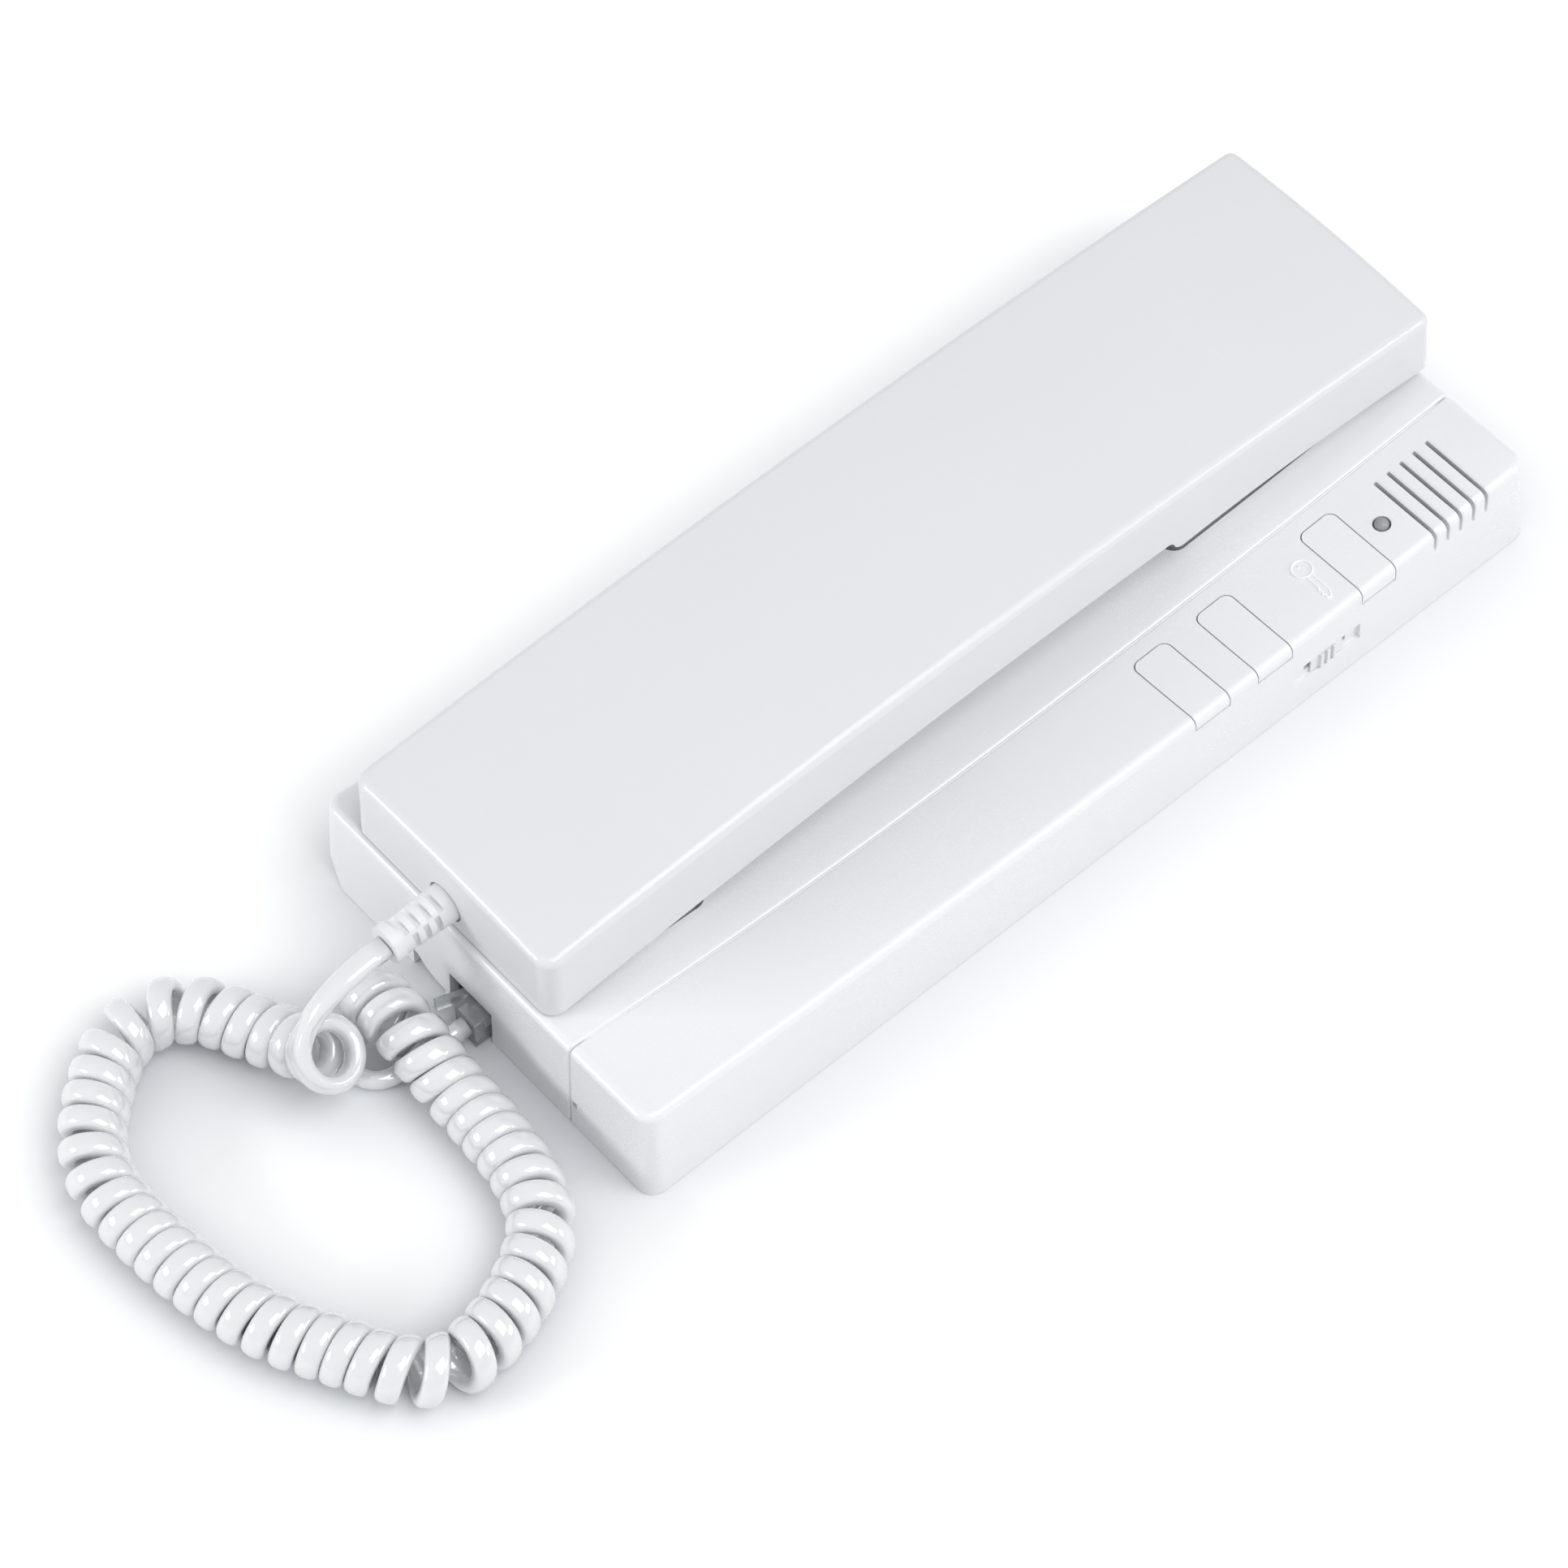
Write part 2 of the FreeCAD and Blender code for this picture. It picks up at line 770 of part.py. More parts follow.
def cradle_hollow():
    """What is empty inside the cradle housing: skins of the rests and ribs stay in it."""
    hollow = cradle_block("cradle_hollow", wall, under, 1.0)
    kept = [
        box("ear_tub", cup_left - skin, ear_foot - skin, ear_floor - skin,
            cup_right + skin, ear_head + skin, top),
        box("mouth_tub", cup_left - skin, mouth_foot - skin, mouth_floor - skin,
            cup_right + skin, mouth_head + skin, top),
        hand_hollow("hand_skin", skin),
    ]
    foot_rib = mouth_head + cell("rib_foot_inset")
    head_rib = ear_foot - cell("rib_head_inset")
    rib_pitch = cell("rib_pitch")
    ribs = (foot_rib, foot_rib + rib_pitch, head_rib - rib_pitch, head_rib)
    for index, rib_y in enumerate(ribs):
        kept.append(box("cradle_rib_%d" % index, -half_width, rib_y, cell("rib_low_z"),
                        parting - cell("parting_gap") - wall / 2, rib_y + cell("rib_thick"),
                        top))
    return cut("cradle_space", hollow, kept)


plug_x, plug_z = cell("plug_x"), cell("plug_z")
grip_x = (cup_left + cup_right) / 2
hook_x, hook_y = grip_x, mouth_head - cell("hook_inset")
hook_half, hook_reach = cell("hook_width") / 2, cell("hook_length") / 2
hook_gap = cell("hook_gap")
foot_face = -half_length

def cord_entry():
    """The notch for a surface cable in the foot end's lower edge, high at its left."""
    body = new_body("cord_entry")
    left, right = cell("entry_left"), cell("entry_right")
    outline = [(left, under), (right, under), (right, cell("entry_low_height")),
               (left + cell("entry_flat"), cell("entry_height"), cell("entry_bow"), 1),
               (left, cell("entry_height"))]
    drawn = sketch(body, "cord_entry_outline", "XZ_Plane", [outline], -foot_face - wall / 2)
    feature(body, "Pad", "cord_entry_pad", drawn, Length=wall + past * 2, Midplane=True)
    return body


cradle_housing = keep("cradle_housing", cut("cradle_housing", cradle_outer, [
    cradle_hollow(),
    prism("ear_rest", rounded_box(cup_left, ear_foot, cup_right, ear_head, cell("rest_corner")),
          ear_floor, top),
    prism("mouth_rest", rounded_box(cup_left, mouth_foot, cup_right, mouth_head,
                                    cell("rest_corner")), mouth_floor, top),
    hand_hollow("hand_grip_hollow", size(0)),
    box("hook_window", hook_x - hook_half - hook_gap, hook_y - hook_reach - hook_gap,
        mouth_floor - skin - past, hook_x + hook_half + hook_gap,
        hook_y + hook_reach + hook_gap, mouth_floor + past),
    box("jack_opening", plug_x - cell("jack_open_left"), foot_face - past, under,
        plug_x + cell("jack_open_right"), foot_face + wall + past, cell("jack_open_top")),
    cord_entry(),
]))


# Strip cover: the side with the keys, the lamp, the speaker slots and the volume slide

key_gap = cell("key_gap")
key_skirt = cell("key_skirt_z")
key_low = cell("key_low_z")
core_gap = cell("key_core_gap")
tongue_gap = cell("key_tongue_gap")
tongue_side = half_width - draft * key_skirt - cell("key_tongue_skin") - tongue_gap
speaker_radius = cell("speaker_radius")
key_left = parting + cell("key_inset")
upper_key_y = half_length - cell("upper_key_inset")
middle_key_y = upper_key_y - cell("middle_key_drop")
lower_key_y = middle_key_y - cell("lower_key_drop")
KEYS = {"lower": lower_key_y, "middle": middle_key_y, "upper": upper_key_y}
led_x, led_y = half_width - cell("led_inset"), upper_key_y + cell("led_from_key")
first_slot_y = led_y + cell("slot_from_led")
slots_length = cell("slot_pitch") * (cell("slot_count") - 1)
speaker_x, speaker_y = half_width - cell("speaker_inset"), first_slot_y + slots_length / 2
slide_low, slide_high = cell("volume_low"), cell("volume_high")
slide_foot = middle_key_y + cell("volume_from_key")
slide_head = slide_foot + cell("volume_length")
slide_y = (slide_foot + slide_head) / 2
slide_z = (slide_low + slide_high) / 2
side_at_slide = half_width - draft * slide_z
slide_floor = side_at_slide - cell("volume_depth")


def key_outline(key_y, inset):
    """A key seen from the front: round at its left corners, and out past the rim at right."""
    left, corner = key_left + inset, cell("key_corner") - inset
    low, high = key_y - cell("key_width") / 2 + inset, key_y + cell("key_width") / 2 - inset
    edge = half_width + 4
    return [(left, low + corner), (left + corner, low, corner, -1), (edge, low), (edge, high),
            (left + corner, high), (left, high - corner, corner, -1)]


def speaker_slots():
    """Five slots over the rim: open in front of the speaker, and a groove down the side."""
    body = new_body("speaker_slots")
    side_z, depth = cell("slot_side_z"), cell("slot_side_depth")
    groove = half_width - draft * side_z - depth
    left, low_z = parting + cell("slot_inset"), cell("slot_low_z")
    inner = half_width - cell("slot_side_wall")
    rim_z = cell("rim_low_z") - cell("slot_rim_drop")
    through = [(left, low_z), (inner, low_z), (inner, rim_z),
               (groove, rim_z - cell("slot_rim_drop")), (groove, side_z),
               (half_width + 2, side_z), (half_width + 2, top), (left, top)]
    drawn = sketch(body, "slot_outline", "XZ_Plane", [through], -first_slot_y)
    slot = feature(body, "Pad", "slot_pad", drawn, Length=cell("slot_width"), Midplane=True)
    rows = body.newObject("PartDesign::LinearPattern", "slot_rows")
    rows.Originals = [slot]
    rows.Direction = (plane_of(body, "Y_Axis"), [""])
    bind(rows, "Length", slots_length)
    bind(rows, "Occurrences", cell("slot_count"))
    body.Tip = rows
    doc.recompute()
    return body


def strip_hollow():
    """What is empty inside the strip cover: a wall round the speaker stays in it."""
    hollow = strip_block("strip_hollow", wall, under, 1.0)
    bore, low_z = speaker_radius + cell("speaker_gap"), cell("speaker_rib_low")
    kept = [ring("speaker_collar", speaker_x, speaker_y, low_z, bore,
                 bore + cell("speaker_rib"), top - low_z)]
    return cut("strip_space", hollow, kept)


def strip_cuts():
    """Openings of the strip cover."""
    cuts = [strip_hollow(), speaker_slots(),
            rod("lamp_hole", led_x, led_y, cell("led_seat_z"),
                cell("led_radius") + cell("led_gap"), top - cell("led_seat_z"))]
    for name, key_y in KEYS.items():
        cuts.append(prism("%s_key_window" % name, key_outline(key_y, size(0)),
                          key_skirt - cell("key_travel") - cell("key_rest_gap"), top))
        reach = cell("key_width") / 2 - core_gap + tongue_gap
        cuts.append(box("%s_tongue_pocket" % name, tongue_side - wall, key_y - reach,
                        key_low - cell("key_travel") - tongue_gap, tongue_side + tongue_gap,
                        key_y + reach, key_skirt))
    slot_reach = cell("volume_travel") + cell("volume_neck_half") + cell("volume_gap") * 1.5
    slot_half = cell("volume_slot_half")
    cuts.append(box("slide_recess", slide_floor, slide_foot, slide_low, half_width + past,
                    slide_head, slide_high))
    cuts.append(box("slide_slot", half_width - wall * 3, slide_y - slot_reach,
                    slide_z - slot_half, half_width + past, slide_y + slot_reach,
                    slide_z + slot_half))
    release, release_z = parting + cell("release_inset"), cell("release_z")
    cuts.append(box("release_hole", release, foot_face - past,
                    release_z - cell("release_height") / 2, release + cell("release_width"),
                    foot_face + wall + past, release_z + cell("release_height") / 2))
    return cuts


strip_cover = keep("strip_cover", cut("strip_cover", strip_outer, strip_cuts()))


# Keys: each is cut out of the cover's own front form, so that it lies flush with it

stem_x = parting + cell("key_stem_inset")
stem_radius = cell("key_stem_radius")
board_top = cell("board_low") + cell("board_thick")
dome_top = board_top + cell("dome_height")

for name, key_y in KEYS.items():
    half_key = cell("key_width") / 2
    face = common("%s_key_face" % name, strip_outer,
                  prism("%s_key_prism" % name, key_outline(key_y, key_gap), key_skirt, top))
    inner_side = half_width - wall - draft * key_skirt - cell("plate_gap")
    core = box("%s_key_core" % name, key_left + core_gap, key_y - half_key + core_gap, key_low,
               tongue_side, key_y + half_key - core_gap, key_skirt + sunk)
    flange = box("%s_key_flange" % name, key_left + core_gap,
                 key_y - half_key - cell("key_flange"), key_low, inner_side,
                 key_y + half_key + cell("key_flange"), key_low + cell("key_flange"))
    stem = rod("%s_key_stem" % name, stem_x, key_y, dome_top, stem_radius,
               key_low - dome_top + sunk)
    keep("%s_button" % name, joined("%s_button" % name, [face, core, flange, stem]))
    keep("%s_dome" % name, cone("%s_dome" % name, stem_x, key_y, board_top,
                                cell("dome_radius"), cell("dome_top_radius"),
                                cell("dome_height")))


# Lamp and call speaker

led_radius = cell("led_radius")
led_seat = cell("led_seat_z")
leg_half, leg_reach = cell("led_leg") / 2, cell("led_leg_pitch") / 2
lamp_centre = cell("led_top_z") - led_radius
lamp_dome = doc.addObject("Part::Sphere", "lamp_dome")
bind(lamp_dome, "Radius", led_radius)
place(lamp_dome, led_x, led_y, lamp_centre)
keep("status_led", joined("status_led", [
    lamp_dome,
    rod("lamp_stem", led_x, led_y, led_seat, led_radius, lamp_centre - led_seat),
    rod("lamp_flange", led_x, led_y, led_seat, led_radius + cell("led_flange"),
        cell("led_flange_thick")),
    box("lamp_leg_0", led_x - leg_reach - leg_half, led_y - leg_half, board_top,
        led_x - leg_reach + leg_half, led_y + leg_half, led_seat + sunk),
    box("lamp_leg_1", led_x + leg_reach - leg_half, led_y - leg_half, board_top,
        led_x + leg_reach + leg_half, led_y + leg_half, led_seat + sunk),
]))

speaker_low, speaker_high = cell("speaker_low"), cell("speaker_high")
speaker_wall = cell("speaker_wall")
keep("call_speaker", cut("call_speaker", joined("speaker_frame", [
    rod("speaker_basket", speaker_x, speaker_y, speaker_low, speaker_radius,
        speaker_high - speaker_low),
    rod("speaker_magnet", speaker_x, speaker_y, speaker_low - cell("magnet_height"),
        speaker_radius / 2, cell("magnet_height") + sunk),
]), [rod("speaker_bowl", speaker_x, speaker_y, speaker_low + speaker_wall,
         speaker_radius - speaker_wall, speaker_high)]))
keep("speaker_cone", cone("speaker_cone", speaker_x, speaker_y, speaker_low + speaker_wall,
                          speaker_radius / 3,
                          speaker_radius - speaker_wall - cell("cone_gap"),
                          cell("cone_height")))


# Back plate, with the holes for the wall and the posts for the board

plate_gap = cell("plate_gap")
plate_thick = cell("plate_thick")
plate_left = wall + cell("heel_in") + plate_gap - half_width
plate_right = half_width - wall - plate_gap
plate_end = half_length - wall - plate_gap
hole_radius = cell("wall_hole_radius")
board_low = cell("board_low")
screw_radius = cell("screw_radius")
screw_gap = cell("screw_gap")
jack_left, jack_right = plug_x - cell("jack_left_reach"), plug_x + cell("jack_right_reach")
jack_back = plate_end - cell("jack_length")
board_left, board_right = parting + cell("board_inset"), half_width - cell("board_side_gap")
board_foot = cell("board_foot_inset") - half_length
board_head = half_length - cell("board_head_inset")
screw_inset = cell("board_screw_inset")
BOARD_SCREWS = [(board_left + screw_inset, board_foot + screw_inset),
                (board_right - screw_inset, lower_key_y - cell("board_screw_drop")),
                (board_left + screw_inset, (middle_key_y + upper_key_y) / 2)]

screw_sink = cell("board_screw_sink")
posts = [rod("board_post_%d" % i, x, y, plate_thick - sunk, cell("board_post_radius"),
             board_low - plate_thick + sunk) for i, (x, y) in enumerate(BOARD_SCREWS)]
post_bores = [rod("post_bore_%d" % i, x, y, plate_thick - screw_sink, screw_radius + screw_gap,
                  board_low)
              for i, (x, y) in enumerate(BOARD_SCREWS)]
wall_holes = []
for i, reach in enumerate((cell("wall_hole_spacing") / 2, cell("box_hole_spacing") / 2)):
    wall_holes.append(rod("wall_hole_low_%d" % i, 0, -reach, -1, hole_radius, plate_thick + 2))
    wall_holes.append(rod("wall_hole_high_%d" % i, 0, reach, -1, hole_radius, plate_thick + 2))
window_half = cell("cable_window_width") / 2
window_reach = cell("cable_window_length") / 2
plate_rib, rib_end = cell("plate_rib"), plate_end - cell("plate_rib_end")
rib_top = plate_thick + cell("plate_rib_height")
left_rib_x = plate_left + cell("plate_rib_inset")
notch_gap = cell("jack_notch_gap")
mid_rib_x = parting - cell("plate_rib_inset") + plate_rib / 3
keep("back_plate", cut("back_plate", joined("plate_form", [
    box("plate_sheet", plate_left, -plate_end, 0, plate_right, plate_end, plate_thick),
    box("plate_rib_left", left_rib_x, cell("plate_rib_foot") - plate_end, plate_thick - sunk,
        left_rib_x + plate_rib, rib_end, rib_top),
    box("plate_rib_mid", mid_rib_x, -rib_end, plate_thick - sunk, mid_rib_x + plate_rib,
        rib_end, rib_top),
] + posts), post_bores + wall_holes + [
    prism("cable_window", rounded_box(-window_half, -window_reach, window_half, window_reach,
                                      cell("cable_window_corner")), under,
          plate_thick + past),
    box("jack_notch", jack_left - notch_gap, -plate_end - past, under, jack_right + notch_gap,
        notch_gap - jack_back, plate_thick + past),
]))

board_hole = screw_radius + screw_gap
keep("main_board", cut("main_board", box(
    "board_sheet", board_left, board_foot, board_low, board_right, board_head, board_top),
    [rod("board_hole_%d" % i, x, y, board_low - past, board_hole,
         cell("board_thick") + past * 2)
     for i, (x, y) in enumerate(BOARD_SCREWS)]))
keep("board_screws", group("board_screws", [
    joined("board_screw_%d" % i, [
        rod("board_screw_head_%d" % i, x, y, board_top, cell("screw_head_radius"),
            cell("screw_head")),
        rod("board_screw_shank_%d" % i, x, y, plate_thick - past, screw_radius,
            board_top - plate_thick + past + sunk),
    ]) for i, (x, y) in enumerate(BOARD_SCREWS)]))

terminal_foot = board_foot + cell("terminal_inset")
terminal_pitch = cell("terminal_pitch")
terminal_x = (board_left + board_right) / 2
terminal_half = cell("terminal_depth") / 2
terminal_top = board_top + cell("terminal_height")
well_floor = terminal_top - cell("terminal_well_depth")
mouth_half = cell("terminal_mouth") / 2
terminal_cuts = []
terminal_screws = []
for i in range(int(SIZES["terminal_count"])):
    pole_y = terminal_foot + terminal_pitch * (i + 0.5)
    terminal_cuts.append(rod("terminal_well_%d" % i, terminal_x, pole_y, well_floor,
                             cell("terminal_well"), cell("terminal_well_depth") + past))
    terminal_cuts.append(box("terminal_mouth_%d" % i, terminal_x - terminal_half - past,
                             pole_y - mouth_half, board_top + past, terminal_x + past,
                             pole_y + mouth_half,
                             board_top + 1 + cell("terminal_mouth_height")))
    terminal_screws.append(rod("terminal_screw_%d" % i, terminal_x, pole_y, well_floor,
                               cell("terminal_screw_radius"),
                               cell("terminal_well_depth") * 0.6))
keep("terminal_block", cut("terminal_block", box(
    "terminal_body", terminal_x - terminal_half, terminal_foot, board_top,
    terminal_x + terminal_half, terminal_foot + terminal_pitch * cell("terminal_count"),
    terminal_top), terminal_cuts))
keep("terminal_screws", group("terminal_screws", terminal_screws))


# Volume slide: a ridged knob on the side, with its neck in the switch on the board

switch_left = terminal_x - cell("switch_left_reach")
switch_right = board_right - cell("switch_side_gap")
switch_half = cell("switch_length") / 2
neck_half = cell("volume_neck_half")
slide_gap = cell("volume_gap")
groove_reach = cell("volume_travel") + neck_half + slide_gap * 2
keep("volume_switch", cut("volume_switch", box(
    "switch_body", switch_left, slide_y - switch_half, board_top, switch_right,
    slide_y + switch_half, board_top + cell("switch_height")),
    [box("switch_groove", switch_right - cell("switch_groove_depth"), slide_y - groove_reach,
         slide_z - neck_half, switch_right + past, slide_y + groove_reach, slide_z + neck_half)]))
knob_left = slide_floor + slide_gap
proud = cell("volume_ridge_proud")
ridge_half, ridge_pitch = cell("volume_ridge") / 2, cell("volume_ridge_pitch")
knob_low, knob_high = slide_low + slide_gap * 1.5, slide_high - slide_gap * 1.5
cap_half = cell("volume_cap_half")
slider_forms = [
    box("slider_cap", knob_left, slide_y - cap_half, knob_low, side_at_slide - proud,
        slide_y + cap_half, knob_high),
    box("slider_neck", switch_right - cell("switch_groove_depth") + neck_half, slide_y - neck_half,
        slide_z - neck_half * 0.7, knob_left + slide_gap, slide_y + neck_half,
        slide_z + neck_half * 0.7),
]
for i in (-1, 0, 1):
    ridge_y = slide_y + ridge_pitch * i
    slider_forms.append(box("slider_ridge_%d" % (i + 1), knob_left, ridge_y - ridge_half,
                            knob_low, side_at_slide + proud, ridge_y + ridge_half, knob_high))
keep("volume_slider", joined("volume_slider", slider_forms))


# Hook switch under the mouth rest

hook_foot = cell("hook_foot_z")
flange_top = mouth_floor - skin - cell("hook_rise") - screw_gap
switch_top = cell("hook_switch_top")
hook_flange = cell("hook_flange")
switch_x, switch_y = cell("hook_switch_length") / 2, cell("hook_switch_width") / 2
keep("hook_lever", joined("hook_lever", [
    box("hook_peg", hook_x - hook_half, hook_y - hook_reach, hook_foot, hook_x + hook_half,
        hook_y + hook_reach, mouth_floor),
    box("hook_flange_box", hook_x - hook_half - hook_flange, hook_y - hook_reach - hook_flange,
        hook_foot, hook_x + hook_half + hook_flange, hook_y + hook_reach + hook_flange,
        flange_top),
]))
keep("hook_switch", box("hook_switch", hook_x - switch_x, hook_y - switch_y, plate_thick,
                        hook_x + switch_x, hook_y + switch_y, switch_top))
leaf = new_body("hook_leaf_spring")
leaf_half, leaf_thick = cell("leaf_length") / 2, cell("leaf_thick")
leaf_left, leaf_right = hook_x - leaf_half, hook_x + leaf_half
leaf_outline = sketch(leaf, "leaf_outline", "XZ_Plane", [[
    (leaf_left, switch_top), (leaf_right, switch_top), (leaf_right, switch_top + leaf_thick),
    (leaf_left + leaf_thick * 3.5, switch_top + leaf_thick),
    (leaf_right - leaf_thick * 2.5, hook_foot - leaf_thick), (leaf_right, hook_foot),
    (leaf_right - leaf_thick * 5, hook_foot), (leaf_left, switch_top + leaf_thick * 1.25)]],
    -hook_y)
feature(leaf, "Pad", "leaf_pad", leaf_outline, Length=cell("leaf_width"), Midplane=True)
keep("hook_leaf_spring", leaf)


# Handset jack in the foot end, and the plug in it

plug_half = cell("plug_thick") / 2
plug_reach = cell("plug_width") / 2
plug_back = foot_face - cell("plug_proud")
plug_nose = plug_back + cell("plug_length")
jack_gap = cell("jack_gap")
jack_wall = cell("jack_wall")
latch_half = cell("latch_width") / 2
latch_gap = cell("latch_gap")
contact_pitch = cell("contact_pitch")
jack_front = cell("jack_front_gap") - plate_end
nose_gap = cell("jack_nose_gap")


def jack_contact(name, index):
    """One of the four springs in the jack, along the plug's own pitch."""
    middle = plug_z + contact_pitch * (index - 1.5)
    half, right = cell("jack_contact") / 2, plug_x + plug_half
    depth = cell("jack_contact_depth")
    return box("%s_%d" % (name, index), right - depth, plug_nose + nose_gap + notch_gap / 10,
               middle - half, right - depth + cell("jack_contact_thick"),
               half + notch_gap * 2.5 - jack_back, middle + half)


keep("handset_jack", cut("handset_jack", box(
    "jack_body", jack_left, jack_front, cell("jack_foot_z"), jack_right, -jack_back,
    plug_z * 2 + cell("jack_roof")),
    [box("jack_socket", plug_x - plug_half - jack_gap, jack_front - past,
         plug_z - plug_reach - jack_gap, plug_x + plug_half + jack_gap, plug_nose + nose_gap,
         plug_z + plug_reach + jack_gap),
     box("jack_keyway", jack_left + jack_wall, jack_front - past, plug_z - latch_half - latch_gap,
         plug_x - plug_half, plug_nose + nose_gap, plug_z + latch_half + latch_gap)]
    + [jack_contact("jack_contact_slot", i) for i in range(4)]))
keep("jack_contacts", group("jack_contacts", [jack_contact("jack_contact", i)
                                              for i in range(4)]))

latch = new_body("plug_latch")
latch_left = plug_x - plug_half
# The latch's corners from the plug's side, the first three and the last from its nose
LATCH_NOSE = [(0.3, -0.2), (-0.9, -1.2)]
LATCH_BACK = [(-4.4, 0.4), (-4.9, -1.1), (-3.9, -1.3), (-3.3, 0.5)]
LATCH_ROOT = [(0.3, -2.4)]
latch_corners = ([(latch_left + x, plug_nose + y) for x, y in LATCH_NOSE]
                 + [(latch_left + x, plug_back + y) for x, y in LATCH_BACK]
                 + [(latch_left + x, plug_nose + y) for x, y in LATCH_ROOT])
latch_outline = sketch(latch, "latch_outline", "XY_Plane", [latch_corners], plug_z)
feature(latch, "Pad", "latch_pad", latch_outline, Length=latch_half * 2, Midplane=True)
contact_half, contact_gap = cell("plug_contact") / 2, cell("plug_contact_gap")
contact_depth = cell("plug_contact_depth")
contact_back = plug_nose - jack_wall / 4 - cell("plug_contact_length")


def plug_contact(name, index, gap):
    """One of the plug's four blades, or the slot that it lies in where there is a gap."""
    middle = plug_z + contact_pitch * (index - 1.5)
    right = plug_x + plug_half
    half = contact_half + gap
    if gap.value:
        return box("%s_%d" % (name, index), right - contact_depth, contact_back - jack_wall / 4,
                   middle - half, right + past, plug_nose + past, middle + half)
    return box("%s_%d" % (name, index), right - contact_depth, contact_back, middle - half,
               right - latch_gap, plug_nose - jack_wall / 4, middle + half)


mouth_wall, mouth_half = cell("plug_mouth_wall"), plug_reach - cell("plug_mouth_depth") / 2
cord_mouth = box("plug_cord_mouth", plug_x - plug_half + mouth_wall, plug_back - past,
                 plug_z - mouth_half, plug_x + plug_half - mouth_wall,
                 plug_back + cell("plug_mouth_depth"), plug_z + mouth_half)
keep("handset_plug", cut("handset_plug", joined("plug_form", [
    box("plug_body", plug_x - plug_half, plug_back, plug_z - plug_reach, plug_x + plug_half,
        plug_nose, plug_z + plug_reach), latch]),
    [plug_contact("plug_slot", i, contact_gap) for i in range(4)] + [cord_mouth]))
keep("plug_contacts", group("plug_contacts", [plug_contact("plug_contact", i, size(0))
                                              for i in range(4)]))


# Handset

grip_half = (cup_right - cup_left) / 2 + cell("handset_side")
grip_draft = cell("handset_draft")
grip_foot = cell("handset_foot_inset") - half_length
grip_head = half_length - cell("handset_head_inset")
grip_wall = cell("handset_wall")
edge_z = cell("handset_edge_foot")
grip_top = top + 20
shell_low = cell("shell_low_z")


def lower_edge(rise, foot_y, head_y):
    """The handset's lower edge in Y and Z, lifted by the rise: bowed along the grip, then
    with a round step down to the ear end."""
    mid_y, mid_z = cell("handset_edge_mid_y"), cell("handset_edge_mid")
    step_y, step_z = ear_foot - cell("handset_step_gap"), cell("handset_step_edge")
    foot_z, step_length = cell("handset_edge_foot"), cell("handset_step_length")
    foot_bow = bow_radius(mid_y - grip_foot, mid_z - foot_z)
    head_bow = bow_radius(step_y - mid_y, mid_z - step_z)
    return [(foot_y, foot_z + rise), (mid_y, mid_z + rise, foot_bow, 1),
            (step_y, step_z + rise, head_bow, 1),
            (step_y + step_length * 0.47, cell("handset_step_mid") + rise,
             cell("handset_step_round"), 1),
            (step_y + step_length, cell("handset_ear_edge") + rise,
             cell("handset_step_hollow"), -1),
            (head_y, cell("handset_edge_head") + rise, cell("handset_ear_bow"), 1)]


def grip_block(name, inset):
    """The handset as a full block, crowned across by turning its outline about a far axis."""
    body = new_body(name)
    axis_z = cell("handset_crown_z")
    foot_y, head_y = grip_foot + inset, grip_head - inset
    foot_z = cell("handset_top_foot") - inset
    head_z = cell("handset_top_head") - inset
    foot_top = foot_y + grip_draft * (foot_z - edge_z)
    head_top = head_y - grip_draft * (head_z - edge_z)
    outline = [(foot_y, shell_low - axis_z), (foot_top, foot_z - axis_z),
               (head_top, head_z - axis_z, cell("handset_top_bow"), 1),
               (head_y, shell_low - axis_z)]
    drawn = sketch(body, name + "_outline", "YZ_Plane", [outline], grip_x, axis_z)
    feature(body, "Revolution", name + "_crown", drawn, Angle=20, Midplane=True,
            ReferenceAxis=(drawn, ["H_Axis"]))
    low_half = grip_half - inset + grip_draft * (edge_z - shell_low + 4)
    high_half = grip_half - inset - grip_draft * (grip_top - edge_z)
    sides = []
    for sign in (-1, 1):
        sides.append([(grip_x + sign * low_half, shell_low - 4),
                      (grip_x + sign * high_half, grip_top),
                      (grip_x + sign * (grip_half + 30), grip_top),
                      (grip_x + sign * (grip_half + 30), shell_low - 4)])
    wedge = sketch(body, name + "_sides", "XZ_Plane", sides)
    must_cut(body, "Pocket", name + "_side_cut", wedge, Type="ThroughAll", SideType="Symmetric")
    return body


cover_outer = grip_block("cover_outer", size(0))
edge_path = lower_edge(size(0), grip_foot, grip_head)
below = ([(grip_foot - 6, edge_path[0][1])] + edge_path
         + [(grip_head + 6, edge_path[-1][1]), (grip_head + 6, shell_low - 10),
            (grip_foot - 6, shell_low - 10)])
below_sketch = sketch(cover_outer, "cover_edge", "YZ_Plane", [below])
must_cut(cover_outer, "Pocket", "cover_edge_cut", below_sketch, Type="ThroughAll",
         SideType="Symmetric")


def grip_corner(end_y):
    """Test for the two upright corners of the handset at one of its ends."""
    def test(middle, bounds):
        at_end = abs(middle.y - end_y.value) < 3
        at_side = abs(middle.x - grip_x.value) > grip_half.value - 3
        return at_end and at_side and bounds.ZLength > 8
    return test


def grip_rim(middle, bounds):
    """The edges round the handset's face."""
    return middle.z > 36 and bounds.ZLength < 9


rounded(cover_outer, "foot_corners", cell("handset_foot_corner"), grip_corner(grip_foot))
rounded(cover_outer, "head_corners", cell("handset_head_corner"), grip_corner(grip_head))
rounded(cover_outer, "cover_rim", cell("handset_round"), grip_rim)

